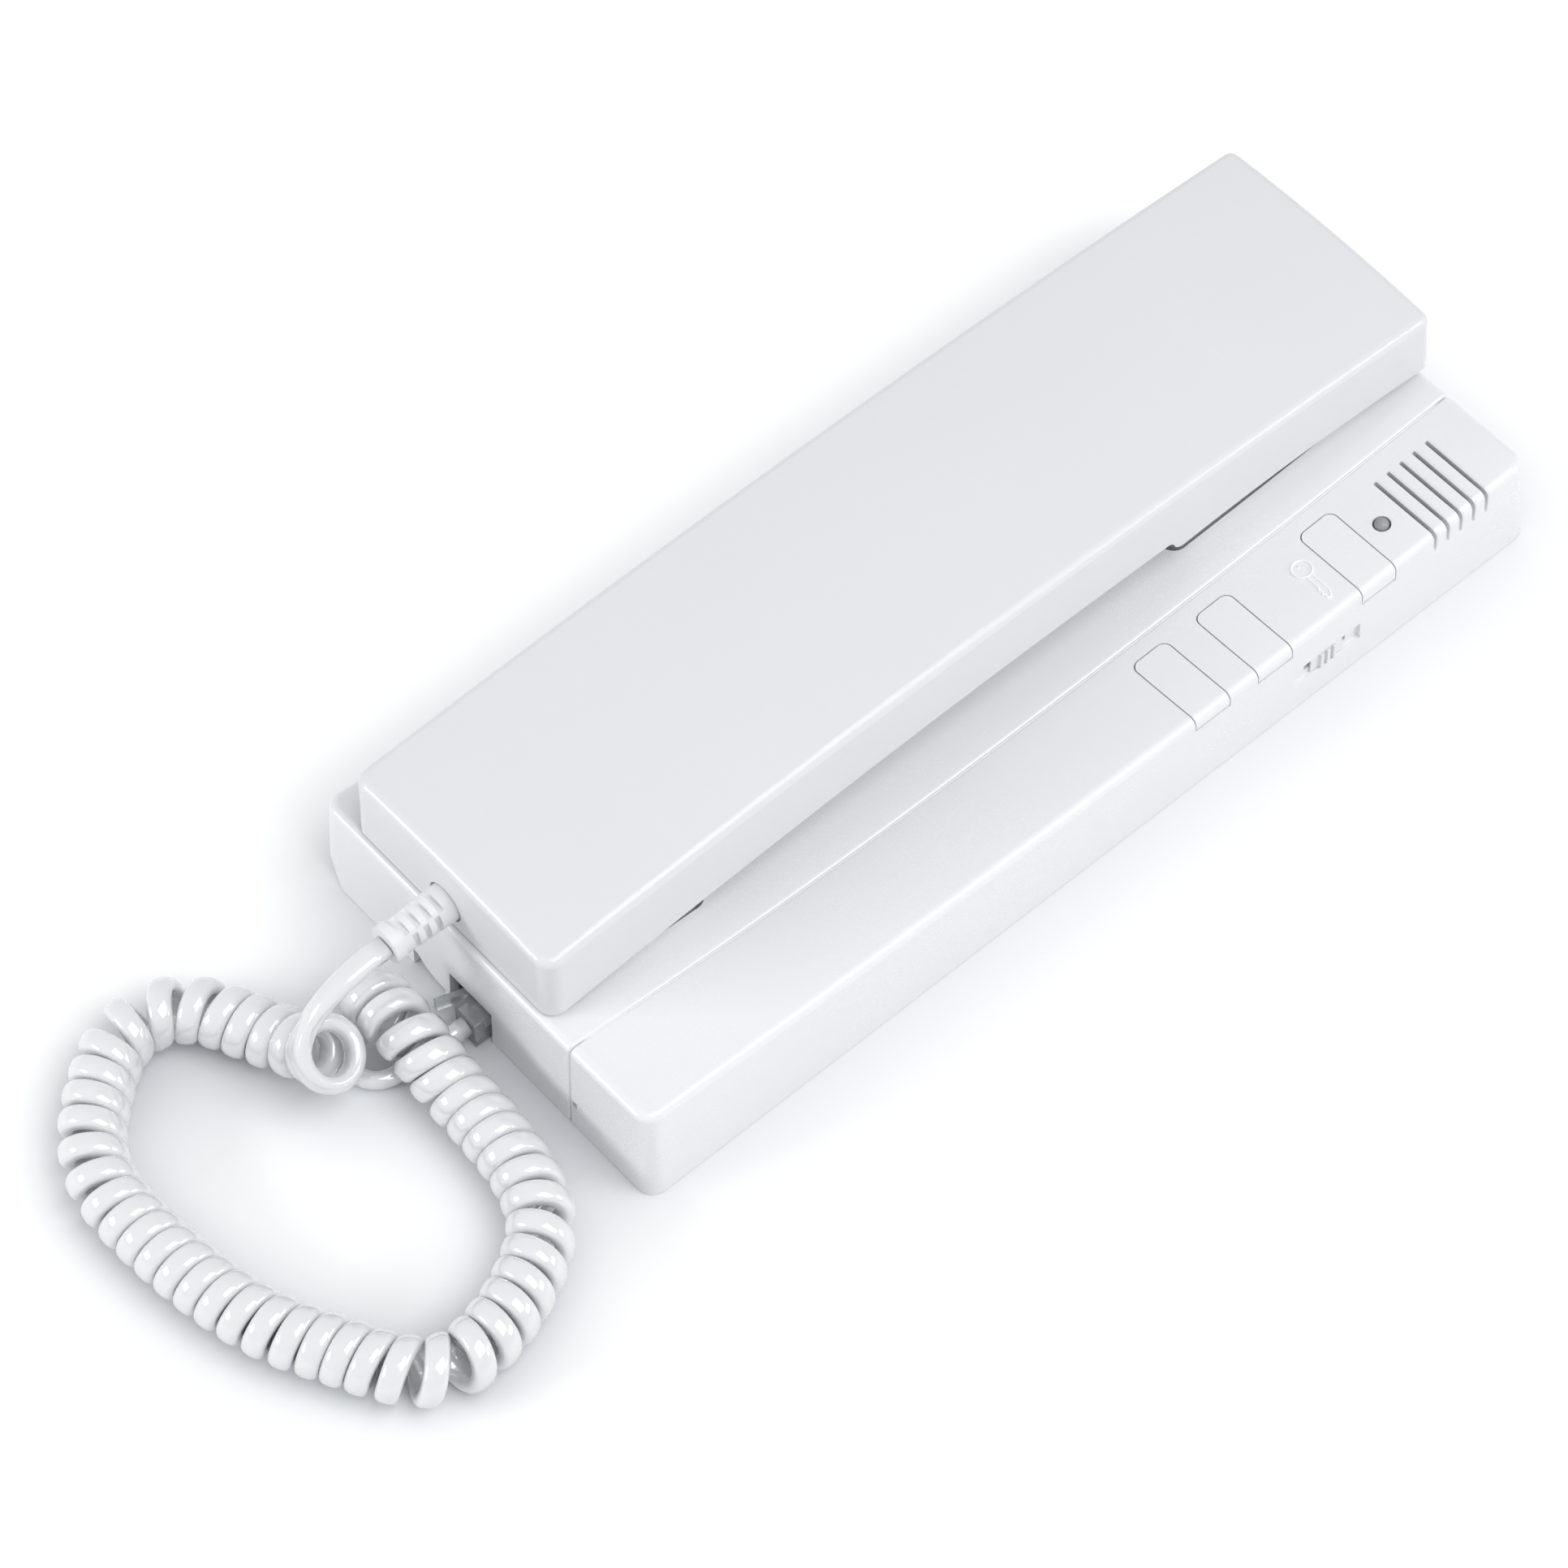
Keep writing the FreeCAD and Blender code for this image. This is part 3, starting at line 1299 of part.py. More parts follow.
boot_x, boot_z = grip_x - cell("boot_inset"), cell("boot_z")
boot_radius = cell("boot_radius")
boss_z = cell("handset_boss_z")
mouth_cup_foot, mouth_cup_head = mouth_foot + cell("mouth_cup_gap"), mouth_head - cell(
    "mouth_cup_gap")
ear_cup_foot = ear_foot + cell("ear_cup_foot_gap")
ear_cup_head = ear_head - cell("ear_cup_head_gap")
seats = [(mouth_cup_head + cell("handset_seat_foot_gap"), cell("handset_seat_foot_z")),
         (ear_cup_foot - cell("handset_seat_head_gap"), cell("handset_seat_head_z"))]
cover_space = cut("cover_space", grip_block("cover_hollow", grip_wall), [
    rod("cover_boss_%d" % i, grip_x, y, boss_z, cell("handset_boss_radius"), 20)
    for i, (y, z) in enumerate(seats)])
screw_length = cell("handset_screw_length")
keep("handset_cover", cut("handset_cover", cover_outer, [
    cover_space,
    rod("boot_opening", boot_x, grip_foot - 4, boot_z, boot_radius + cell("boot_hole_gap"),
        8, "y"),
] + [rod("boss_bore_%d" % i, grip_x, y, boss_z - past, screw_radius + screw_gap,
         screw_length + 2.5) for i, (y, z) in enumerate(seats)]))

inner_set, inner_thick = cell("inner_set"), cell("inner_thick")
inner_foot = grip_foot + grip_wall + cell("inner_gap")
inner_head = grip_head - grip_wall - cell("inner_gap")
inner_half = grip_half - grip_wall - cell("inner_gap")
lower_path = lower_edge(inner_set, inner_foot, inner_head)
upper_path = turned_back(lower_edge(inner_set + inner_thick, inner_foot, inner_head))
cup_gap, cup_wall = cell("cup_gap"), cell("cup_wall")
cup_x0, cup_x1 = cup_left + cup_gap, cup_right - cup_gap
cup_corner = cell("rest_corner") - cup_gap
CUPS = {"ear": (ear_cup_foot, ear_cup_head, ear_floor),
        "mouth": (mouth_cup_foot, mouth_cup_head, mouth_floor)}
inner_cuts = []
inner_forms = [slab("inner_sheet", lower_path + upper_path, grip_x - inner_half,
                    grip_x + inner_half)]
for name, (low_y, high_y, floor) in CUPS.items():
    inner_forms.append(prism("%s_cup" % name, rounded_box(cup_x0, low_y, cup_x1, high_y,
                                                          cup_corner), floor,
                              cell("cup_top_z")))
    inner_cuts.append(prism("%s_cup_hollow" % name, rounded_box(
        cup_x0 + cup_wall, low_y + cup_wall, cup_x1 - cup_wall, high_y - cup_wall,
        cell("cup_hollow_corner")), floor + cup_wall, top))
ear_y = (ear_cup_foot + ear_cup_head) / 2
ear_x = (cup_x0 + cup_x1) / 2
mic_y = mouth_cup_foot + cell("mic_from_cup")
hear_radius, hear_ring = cell("hear_hole_radius"), cell("hear_hole_ring")
for i in range(6):
    turn = math.radians(60 * i)
    inner_cuts.append(rod("ear_hole_%d" % i, ear_x + hear_ring * math.cos(turn),
                          ear_y + hear_ring * math.sin(turn), ear_floor - past, hear_radius,
                          cup_wall + 2))
inner_cuts.append(rod("mouth_hole", ear_x, mic_y, mouth_floor - past, hear_radius, cup_wall + 2))
notch_half = cell("boot_flange_radius") + 1
notch_head = grip_foot + grip_wall + cell("boot_flange_gap") + cell("boot_flange_thick") + 1
inner_cuts.append(box("boot_notch", boot_x - notch_half, inner_foot - past, shell_low,
                      boot_x + notch_half, notch_head, grip_top))
for i, (y, z) in enumerate(seats):
    inner_cuts.append(rod("seat_well_%d" % i, grip_x, y, shell_low,
                          cell("screw_head_radius") + screw_gap * 1.5, z - shell_low))
    inner_cuts.append(rod("seat_hole_%d" % i, grip_x, y, shell_low, screw_radius + screw_gap,
                          grip_top - shell_low))
keep("handset_inner", cut("handset_inner", joined("inner_form", inner_forms), inner_cuts))
keep("handset_screws", group("handset_screws", [
    joined("handset_screw_%d" % i, [
        rod("handset_screw_head_%d" % i, grip_x, y, z - cell("screw_head"),
            cell("screw_head_radius"), cell("screw_head")),
        rod("handset_screw_shank_%d" % i, grip_x, y, z - sunk, screw_radius,
            screw_length + 1.2),
    ]) for i, (y, z) in enumerate(seats)]))

seal = cell("seal_thick")
capsule = cell("capsule_radius")
seal_outer = capsule - cell("seal_inset")
capsule_low = ear_floor + cup_wall + seal
capsule_rim = cell("capsule_rim_height")
keep("ear_seal", ring("ear_seal", ear_x, ear_y, ear_floor + cup_wall,
                      seal_outer - cell("seal_width"), seal_outer, seal))
keep("ear_capsule", joined("ear_capsule", [
    rod("capsule_body", ear_x, ear_y, capsule_low, capsule, capsule_rim),
    rod("capsule_magnet", ear_x, ear_y, capsule_low + capsule_rim - sunk, capsule / 2,
        cell("capsule_height") - capsule_rim + sunk),
]))
mic_floor = mouth_floor + cup_wall
mic_radius = cell("mic_radius")
mic_bore = mic_radius + cell("mic_gap")
keep("mic_holder", ring("mic_holder", ear_x, mic_y, mic_floor, mic_bore,
                        mic_bore + cell("mic_holder_wall"), cell("mic_height")))
keep("mic_capsule", rod("mic_capsule", ear_x, mic_y, mic_floor, mic_radius,
                        cell("mic_height") - cell("mic_holder_proud")))


# Strain relief: a ribbed sleeve moulded on the cord, held behind the handset's end wall

boot_end = grip_foot - cell("boot_face_gap") - cell("boot_length")
boot_end_radius = cell("boot_end_radius")
boot_ring = cell("boot_ring_radius")
ring_back = boot_end + cell("boot_ring_width")
flange_front = grip_foot + grip_wall + cell("boot_flange_gap")
flange_back = flange_front + cell("boot_flange_thick")
boot_body = new_body("boot_body")
boot_profile = sketch(boot_body, "boot_profile", "YZ_Plane", [[
    (boot_end, 0), (flange_back, 0), (flange_back, cell("boot_flange_radius")),
    (flange_front, cell("boot_flange_radius")), (flange_front, boot_radius),
    (grip_foot - 1.6, boot_radius), (ring_back, boot_end_radius), (ring_back, boot_ring),
    (boot_end, boot_ring)]], boot_x, boot_z)
feature(boot_body, "Revolution", "boot_turn", boot_profile, Angle=360,
        ReferenceAxis=(boot_profile, ["H_Axis"]))
slot_depth = cell("boot_slot_depth")
slot_width = cell("boot_slot_width")
slot_pitch = cell("boot_slot_pitch")
slot_reach = cell("boot_slot_reach")
boot_cuts = []
for i in range(4):
    slot_y = ring_back + cell("boot_ring_gap") + slot_pitch * i
    for sign in (-1, 1):
        middle_z = boot_z + sign * (boot_radius - slot_depth + 2)
        boot_cuts.append(box("boot_slot_%d_%d" % (i, sign), boot_x - slot_reach, slot_y,
                             middle_z - 2, boot_x + slot_reach, slot_y + slot_width, middle_z + 2))
        if i < 3:
            middle_x = boot_x + sign * (boot_radius - slot_depth + 2)
            stagger = slot_y + slot_pitch / 2
            boot_cuts.append(box("boot_side_slot_%d_%d" % (i, sign), middle_x - 2, stagger,
                                 boot_z - slot_reach, middle_x + 2, stagger + slot_width,
                                 boot_z + slot_reach))
keep("strain_relief", cut("strain_relief", boot_body, boot_cuts))


# Cord. The free stretches follow points laid by hand. The coil's middle line does too, and
# its turns are worked out round that line.

LEAD = [(-11.0, -121.5, 29.7), (-11.3, -128.0, 29.3), (-14.0, -134.2, 24.2),
        (-9.7, -137.9, 18.5)]
COIL = [(-7.5, -135.3, 12.4), (-13.0, -137.9, 8.6), (-20.0, -140.2, 6.8), (-27.5, -143.9, 6.8),
        (-34.5, -147.2, 6.8), (-39.3, -151.2, 6.8), (-40.4, -157.6, 6.8), (-37.0, -165.0, 6.8),
        (-33.0, -172.0, 6.8), (-28.0, -178.6, 6.8), (-20.5, -183.2, 6.8), (-9.0, -183.6, 6.8),
        (8.0, -182.3, 6.8), (24.0, -178.8, 6.8), (37.0, -171.8, 6.8), (45.6, -167.0, 6.8),
        (51.4, -162.2, 6.8), (52.4, -155.4, 6.8), (49.9, -147.4, 6.8), (46.8, -137.5, 6.8),
        (41.2, -129.0, 6.8), (31.0, -124.7, 6.8), (18.0, -122.9, 6.8), (9.0, -122.6, 6.8),
        (3.0, -122.7, 8.8), (-3.0, -123.1, 12.0), (-10.0, -123.5, 12.6), (-15.0, -123.8, 11.0)]
TAIL = [(-14.2, -128.5, 7.0), (-13.9, -128.6, 4.6), (-12.4, -131.0, 2.2), (-9.6, -134.6, 2.2),
        (-5.6, -133.6, 2.2), (-4.2, -128.5, 2.2), (-2.7, -118.6, 2.2), (-1.3, -112.4, 4.35)]

cord_width = SIZES["cord_width"]
cord_thick = SIZES["cord_thick"]


def unit(vector):
    """The same direction, one long."""
    return vector * (1 / vector.Length)


def arc_along(start, heading, end):
    """The arc that leaves start along the heading and ends at end."""
    chord = end - start
    along = unit(chord)
    lean = heading - along * heading.dot(along)
    half_turn = math.acos(max(-1.0, min(1.0, heading.dot(along))))
    middle = start + chord * 0.5 + unit(lean) * (chord.Length / 2 * math.tan(half_turn / 2))
    return Part.Arc(start, middle, end).toShape()


def biarc(start, leaving, end, arriving):
    """Two arcs that meet smoothly between two points with given directions."""
    across = end - start
    both = leaving + arriving
    spread = 2 * (1 - leaving.dot(arriving))
    reach = (math.sqrt(across.dot(both) ** 2 + spread * across.dot(across))
             - across.dot(both)) / spread
    first, last = start + leaving * reach, end - arriving * reach
    joint = (first + last) * 0.5
    return [arc_along(start, leaving, joint), arc_along(joint, unit(last - first), end)]


def cord_section(start, heading, flat_way):
    """The cord's flat section, six-sided, square to the heading."""
    wide = unit(flat_way - heading * flat_way.dot(heading))
    thin = heading.cross(wide)
    corners = []
    for across, up in ((1, 0), (0.5, 1), (-0.5, 1), (-1, 0), (-0.5, -1), (0.5, -1)):
        corners.append(start + wide * (across * cord_width / 2) + thin * (up * cord_thick / 2))
    return Part.makePolygon(corners + corners[:1])


def swept(name, edges, start, heading, flat_way):
    """The cord's section carried along a smooth row of edges."""
    shell = Part.BRepOffsetAPI.MakePipeShell(Part.Wire(edges))
    shell.add(cord_section(start, heading, flat_way))
    shell.build()
    shell.makeSolid()
    made = doc.addObject("Part::Feature", name)
    made.Shape = shell.shape()
    keep(name, made)
    length = sum(edge.Length for edge in edges)
    print("%s: length %.1f mm, volume over section %.1f mm" % (
        name, length, made.Shape.Volume / (0.75 * cord_width * cord_thick)))
    return made


def free_stretch(name, points, flat_way):
    """Straight runs through the points, joined by arcs that touch both runs."""
    points = [Vector(*point) for point in points]
    edges = []
    radii = []
    here = points[0]
    for before, corner, after in zip(points, points[1:], points[2:]):
        came, goes = unit(corner - before), unit(after - corner)
        half_turn = math.acos(max(-1.0, min(1.0, came.dot(goes)))) / 2
        reach = 0.45 * min((corner - before).Length, (after - corner).Length)
        radii.append(reach / math.tan(half_turn))
        bend_start, bend_end = corner - came * reach, corner + goes * reach
        edges.append(Part.LineSegment(here, bend_start).toShape())
        edges.append(arc_along(bend_start, came, bend_end))
        here = bend_end
    edges.append(Part.LineSegment(here, points[-1]).toShape())
    print("%s: bend radii %s mm" % (name, " ".join("%.1f" % r for r in radii)))
    return swept(name, edges, points[0], unit(points[1] - points[0]), flat_way)


def spline_along(points):
    """A smooth line with these control points, quadratic, from the first to the last."""
    count = len(points)
    line = Part.BSplineCurve()
    line.buildFromPolesMultsKnots([Vector(*p) for p in points], [3] + [1] * (count - 3) + [3],
                                  [float(i) for i in range(count - 1)], False, 2)
    return line


class Coil:
    """The curly cord's middle line: where each turn stands, and how far it leans out."""

    steps = 4000

    def __init__(self):
        self.line = spline_along(COIL)
        last = self.line.LastParameter
        self.along = [last * i / self.steps for i in range(self.steps + 1)]
        places = [self.line.value(u) for u in self.along]
        crowding = []
        for u in self.along:
            pull = self.line.getDN(u, 1)
            bend = pull.cross(self.line.getDN(u, 2)).Length / pull.Length ** 3
            tight = (cord_width + SIZES["coil_gap"]) / (1 - SIZES["coil_radius"] * bend)
            crowding.append(1 / max(SIZES["coil_pitch"], tight))
        turned = [0.0]
        for i in range(self.steps):
            stretch = (places[i + 1] - places[i]).Length
            turned.append(turned[-1] + stretch * (crowding[i] + crowding[i + 1]) / 2)
        self.turned = [t / turned[-1] * SIZES["coil_turns"] for t in turned]
        print("coil: %.2f turns by the pitch, %.2f set" % (turned[-1], SIZES["coil_turns"]))

    def parameter(self, turns):
        """Where on the middle line so many turns are done."""
        low, high = 0, self.steps
        while high - low > 1:
            middle = (low + high) // 2
            if self.turned[middle] <= turns:
                low = middle
            else:
                high = middle
        share = (turns - self.turned[low]) / (self.turned[high] - self.turned[low])
        return self.along[low] + share * (self.along[high] - self.along[low])

    def point(self, turns):
        """The wire's middle after so many turns."""
        u = self.parameter(turns)
        ahead = unit(self.line.getDN(u, 1))
        side = unit(ahead.cross(Vector(0, 0, 1)))
        up = side.cross(ahead)
        flare = max(0.0, 1 - turns) ** 2
        radius = SIZES["coil_radius"]
        radius += (SIZES["coil_end_radius"] - radius) * flare
        angle = math.radians(SIZES["coil_start_angle"]) + 2 * math.pi * turns
        return self.line.value(u) + side * (radius * math.cos(angle)) + up * (
            radius * math.sin(angle))

    def heading(self, turns):
        """The wire's direction after so many turns."""
        near = 1e-3
        first = max(0.0, turns - near)
        last = min(SIZES["coil_turns"], turns + near)
        return unit(self.point(last) - self.point(first))

    def least_gap(self):
        """Least distance between the wire's turns, less the wire's width."""
        per_turn = 24
        count = int(SIZES["coil_turns"] * per_turn)
        points = [self.point(i / per_turn) for i in range(count + 1)]
        least = 1e9
        for i in range(count + 1):
            for j in range(i + per_turn * 2 // 3, min(count + 1, i + per_turn * 3)):
                least = min(least, (points[i] - points[j]).Length)
        return least - cord_width


coil = Coil()
print("coil: least gap between turns %.2f mm" % coil.least_gap())
halves = math.ceil(SIZES["coil_turns"] * 2)
stations = [SIZES["coil_turns"] * i / halves for i in range(halves + 1)]
coil_start, coil_end = coil.point(0), coil.point(SIZES["coil_turns"])
start_way, end_way = coil.heading(0), coil.heading(SIZES["coil_turns"])
coil_edges = [Part.LineSegment(coil_start - start_way * cord_width, coil_start).toShape()]
for here, after in zip(stations, stations[1:]):
    coil_edges += biarc(coil.point(here), coil.heading(here), coil.point(after),
                        coil.heading(after))
coil_edges.append(Part.LineSegment(coil_end, coil_end + end_way * cord_width).toShape())
print("coil starts", coil_start - start_way * cord_width, start_way)
print("coil ends", coil_end + end_way * cord_width, end_way)
first_axis = unit(coil.line.getDN(0, 1))
last_axis = unit(coil.line.getDN(coil.line.LastParameter, 1))
swept("cord_coil", coil_edges, coil_start - start_way * cord_width, start_way, first_axis)
free_stretch("cord_lead", LEAD, Vector(1, 0, 0))
free_stretch("cord_tail", TAIL, last_axis)


# Checks and files

doc.recompute()
for thing in doc.Objects:
    if "Invalid" in thing.State or "Error" in thing.State:
        raise ValueError("%s is not computed: %s" % (thing.Name, thing.State))
os.makedirs("parts", exist_ok=True)
for name, thing in parts.items():
    shape = thing.Shape
    if shape.isNull() or not shape.isValid() or shape.Volume <= 0:
        raise ValueError("%s is not a sound solid" % name)
    shape.exportStep("parts/%s.step" % name)
    bounds = shape.optimalBoundingBox(False)
    print("%-18s %9.1f mm3  x %7.2f %7.2f  y %7.2f %7.2f  z %6.2f %6.2f  %d" % (
        name, shape.Volume, bounds.XMin, bounds.XMax, bounds.YMin, bounds.YMax, bounds.ZMin,
        bounds.ZMax, len(shape.Solids)))
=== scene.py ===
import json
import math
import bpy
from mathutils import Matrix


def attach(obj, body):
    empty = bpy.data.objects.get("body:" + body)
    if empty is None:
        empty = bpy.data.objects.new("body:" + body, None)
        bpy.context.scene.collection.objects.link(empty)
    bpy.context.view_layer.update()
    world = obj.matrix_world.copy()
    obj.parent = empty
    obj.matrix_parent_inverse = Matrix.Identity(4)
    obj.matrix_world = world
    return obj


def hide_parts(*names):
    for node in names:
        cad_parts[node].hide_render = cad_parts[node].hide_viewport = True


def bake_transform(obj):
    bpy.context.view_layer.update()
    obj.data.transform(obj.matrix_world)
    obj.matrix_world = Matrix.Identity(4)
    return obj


bl_info = {
    "name": "Intercom Station Dresser",
    "version": (1, 0, 0),
    "blender": (4, 5, 0),
    "location": "View3D > Sidebar > Intercom",
    "description": "Dresses the packed intercom indoor station and sets it up for a picture",
    "category": "Object",
}

import bpy
import numpy as np
from bpy.props import FloatProperty, FloatVectorProperty, IntProperty, PointerProperty
from mathutils import Matrix, Vector

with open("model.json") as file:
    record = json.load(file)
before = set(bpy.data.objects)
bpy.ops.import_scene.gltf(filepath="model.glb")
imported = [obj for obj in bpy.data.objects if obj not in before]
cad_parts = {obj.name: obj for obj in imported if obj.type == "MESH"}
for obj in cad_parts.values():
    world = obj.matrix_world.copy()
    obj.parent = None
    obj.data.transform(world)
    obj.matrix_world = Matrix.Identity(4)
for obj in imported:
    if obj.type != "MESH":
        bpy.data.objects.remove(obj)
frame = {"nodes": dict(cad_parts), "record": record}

# The cord's route in metres, near the part's own and moved by up to some millimetres
# to follow the photograph. The coil's points are those of its middle line, and the lead and
# the tail are the free stretches to the sleeve and to the plug.
LEAD = [(-0.0110, -0.1215, 0.0297), (-0.0111, -0.1278, 0.0290), (-0.0111, -0.1326, 0.0277),
        (-0.0112, -0.1369, 0.0252), (-0.0114, -0.1402, 0.0212)]
COIL = [(-0.0076, -0.1373, 0.0152), (-0.0116, -0.1381, 0.0106), (-0.0200, -0.1402, 0.0068),
        (-0.0275, -0.1437, 0.0068), (-0.0337, -0.1466, 0.0068), (-0.0384, -0.1512, 0.0068),
        (-0.0404, -0.1572, 0.0068), (-0.0392, -0.1637, 0.0068), (-0.0352, -0.1697, 0.0068),
        (-0.0302, -0.1755, 0.0068), (-0.0248, -0.1800, 0.0068), (-0.0180, -0.1829, 0.0068),
        (-0.0090, -0.1836, 0.0068), (0.0080, -0.1823, 0.0068), (0.0240, -0.1788, 0.0068),
        (0.0370, -0.1718, 0.0068), (0.0446, -0.1678, 0.0068), (0.0500, -0.1632, 0.0068),
        (0.0522, -0.1575, 0.0068), (0.0516, -0.1510, 0.0068), (0.0497, -0.1440, 0.0068),
        (0.0464, -0.1368, 0.0068), (0.0408, -0.1292, 0.0068), (0.0310, -0.1251, 0.0068),
        (0.0180, -0.1239, 0.0068), (0.0090, -0.1239, 0.0073), (0.0030, -0.1239, 0.0093),
        (-0.0030, -0.1238, 0.0112), (-0.0090, -0.1237, 0.0115), (-0.0142, -0.1236, 0.0106)]
TAIL = [(-0.0138, -0.1280, 0.0076), (-0.0134, -0.1284, 0.0048), (-0.0122, -0.1300, 0.0027),
        (-0.0100, -0.1327, 0.00235), (-0.0063, -0.1336, 0.00235), (-0.0031, -0.1306, 0.00235),
        (-0.0024, -0.1250, 0.00235), (-0.0024, -0.1186, 0.00235), (-0.0013, -0.1124, 0.00435)]

# Where the photograph was taken from
CAMERA_PLACE = Vector((0.466691, -0.418517, 0.940793))
CAMERA_RIGHT = Vector((0.65649886, 0.75405019, -0.02043422))
CAMERA_UP = Vector((-0.62622, 0.55990851, 0.54254122))
CAMERA_BACK = Vector((0.4205446, -0.34338138, 0.83978061))
SENSOR_MM = 36.0
LENS_MM = 137.83
CLIP_NEAR, CLIP_FAR = 0.05, 20.0

# The specular level of the outer plastics
GLOSS = 0.7

# The cord: the power of its section's superellipse, the points that steer each turn, how
# finely the curves are read between their points, and how far and how steeply the first turn
# flares
SECTION_POWER = 2.6
POINTS_PER_TURN = 16
MIDDLE_STEPS, CORD_STEPS = 40, 3
FLARE_TURNS, FLARE_POWER = 1.3, 1.5

# The speaker slots in the strip's front, in metres: their count and pitch, where the first
# one's edge and their left ends lie, and the lowest place on the front
SLOT_COUNT = 5
SLOT_PITCH = 0.00333
SLOTS_FROM = 0.0847
SLOTS_LEFT = 0.0288
SLOTS_LOW = 0.0164
# The ease of their edges: its width, its fall, the share of painted shade that darkens it, how
# far it starts before the first slot and ends past the last one's edge, and how fast it fades
# each way
SLOT_EASE = 0.0013
SLOT_FALL = 0.00022
SLOT_PAINTED_SHADE = 0.55
EASE_BEFORE, EASE_PAST = 0.0004, 0.0016
EASE_END = SLOTS_FROM + (SLOT_COUNT - 1) * SLOT_PITCH + EASE_PAST
FADE_X, FADE_Y, FADE_Z = 1200.0, 4000.0, 400.0

# The bow of the parting line, in millimetres: how far it reaches, its lowest place, and the
# height that it has at each end
BOW_X = 24.4
BOW_REACH = 110.0
BOW_DRAFT = 0.05
BOW_LOW_Y, BOW_LOW_Z = -14.0, 17.8
BOW_FOOT_Z, BOW_HEAD_Z = 24.0, 22.6
# The bead in it: where it runs, half its width and height, how far it lies under the bow, and
# how deep and over what distance it sinks at its ends
BEAD_FROM, BEAD_TO = -106.0, 106.2
BEAD_HALF, BEAD_TALL, BEAD_UNDER = 0.34, 0.34, 0.42
BEAD_SINK, BEAD_SINK_RUN = 0.6, 3.0
BEAD_STEPS, BEAD_SIDES = 160, 14

# The strip behind the volume slide's slot, in metres: its middle, and half its size each way
SHIELD_PLACE = np.array((0.04405, 0.0569, 0.00905))
SHIELD_HALF = np.array((0.00015, 0.0099, 0.0014))
SHIELD_STEPS, SHIELD_SIDES = 15, 24

# The raised key sign in the strip's front, in millimetres from the middle of its bow
SIGN_PLACE = np.array((34.0, 61.3))
SIGN_BOW = 2.0
SIGN_EYE = np.array((-0.8, -0.18))
SIGN_EYE_RADIUS = 0.35
SIGN_SHAFT = np.array((
    (1.9, 0.6), (6.9, 0.6), (8.3, -0.35), (8.0, -1.05), (7.3, -0.65), (6.9, -1.2),
    (6.3, -0.7), (5.8, -1.15), (5.2, -0.65), (1.9, -0.6)))
# The share of its height by which its underside is sunk, and how finely its lines are drawn
SIGN_SUNK = 0.5
BOW_STEPS, SHAFT_STEPS, RIDGE_STEPS = 48, 150, 9
DOME_SIDES, DOME_RINGS = 20, 5
# The strip's front round the sign: its height in millimetres is the sum of these times 1, x,
# y, x times y, y squared and x squared, measured from the place below
FRONT_PLACE = np.array((37.0, 61.3))
FRONT_TERMS = np.array((20.0564, 0.04306, 0.03726, -0.00105, 0.00027, 0.00067))

# The floor: half its side and its gap under the part in metres, and the reach, the samples
# and the colour of the painted shade that it takes close to things
FLOOR_REACH = 3.0
FLOOR_GAP = 0.0001
SHADE_REACH = 0.026
SHADE_SAMPLES = 16
FLOOR_PAINTED_SHADE = (0.74, 0.755, 0.78)

# Each lamp: name, place, what it points at, size and watts
LAMPS = (
    ("key_lamp", (0.78, 0.12, 1.45), (0.0, -0.05, 0.02), (1.15, 1.15), 12.6),
    ("right_lamp", (0.90, 0.75, 0.55), (0.0, 0.0, 0.02), (0.6, 0.35), 2.4),
    ("foot_lamp", (-0.62, -1.30, 0.54), (0.0, -0.1, 0.02), (0.6, 0.35), 7.6),
)


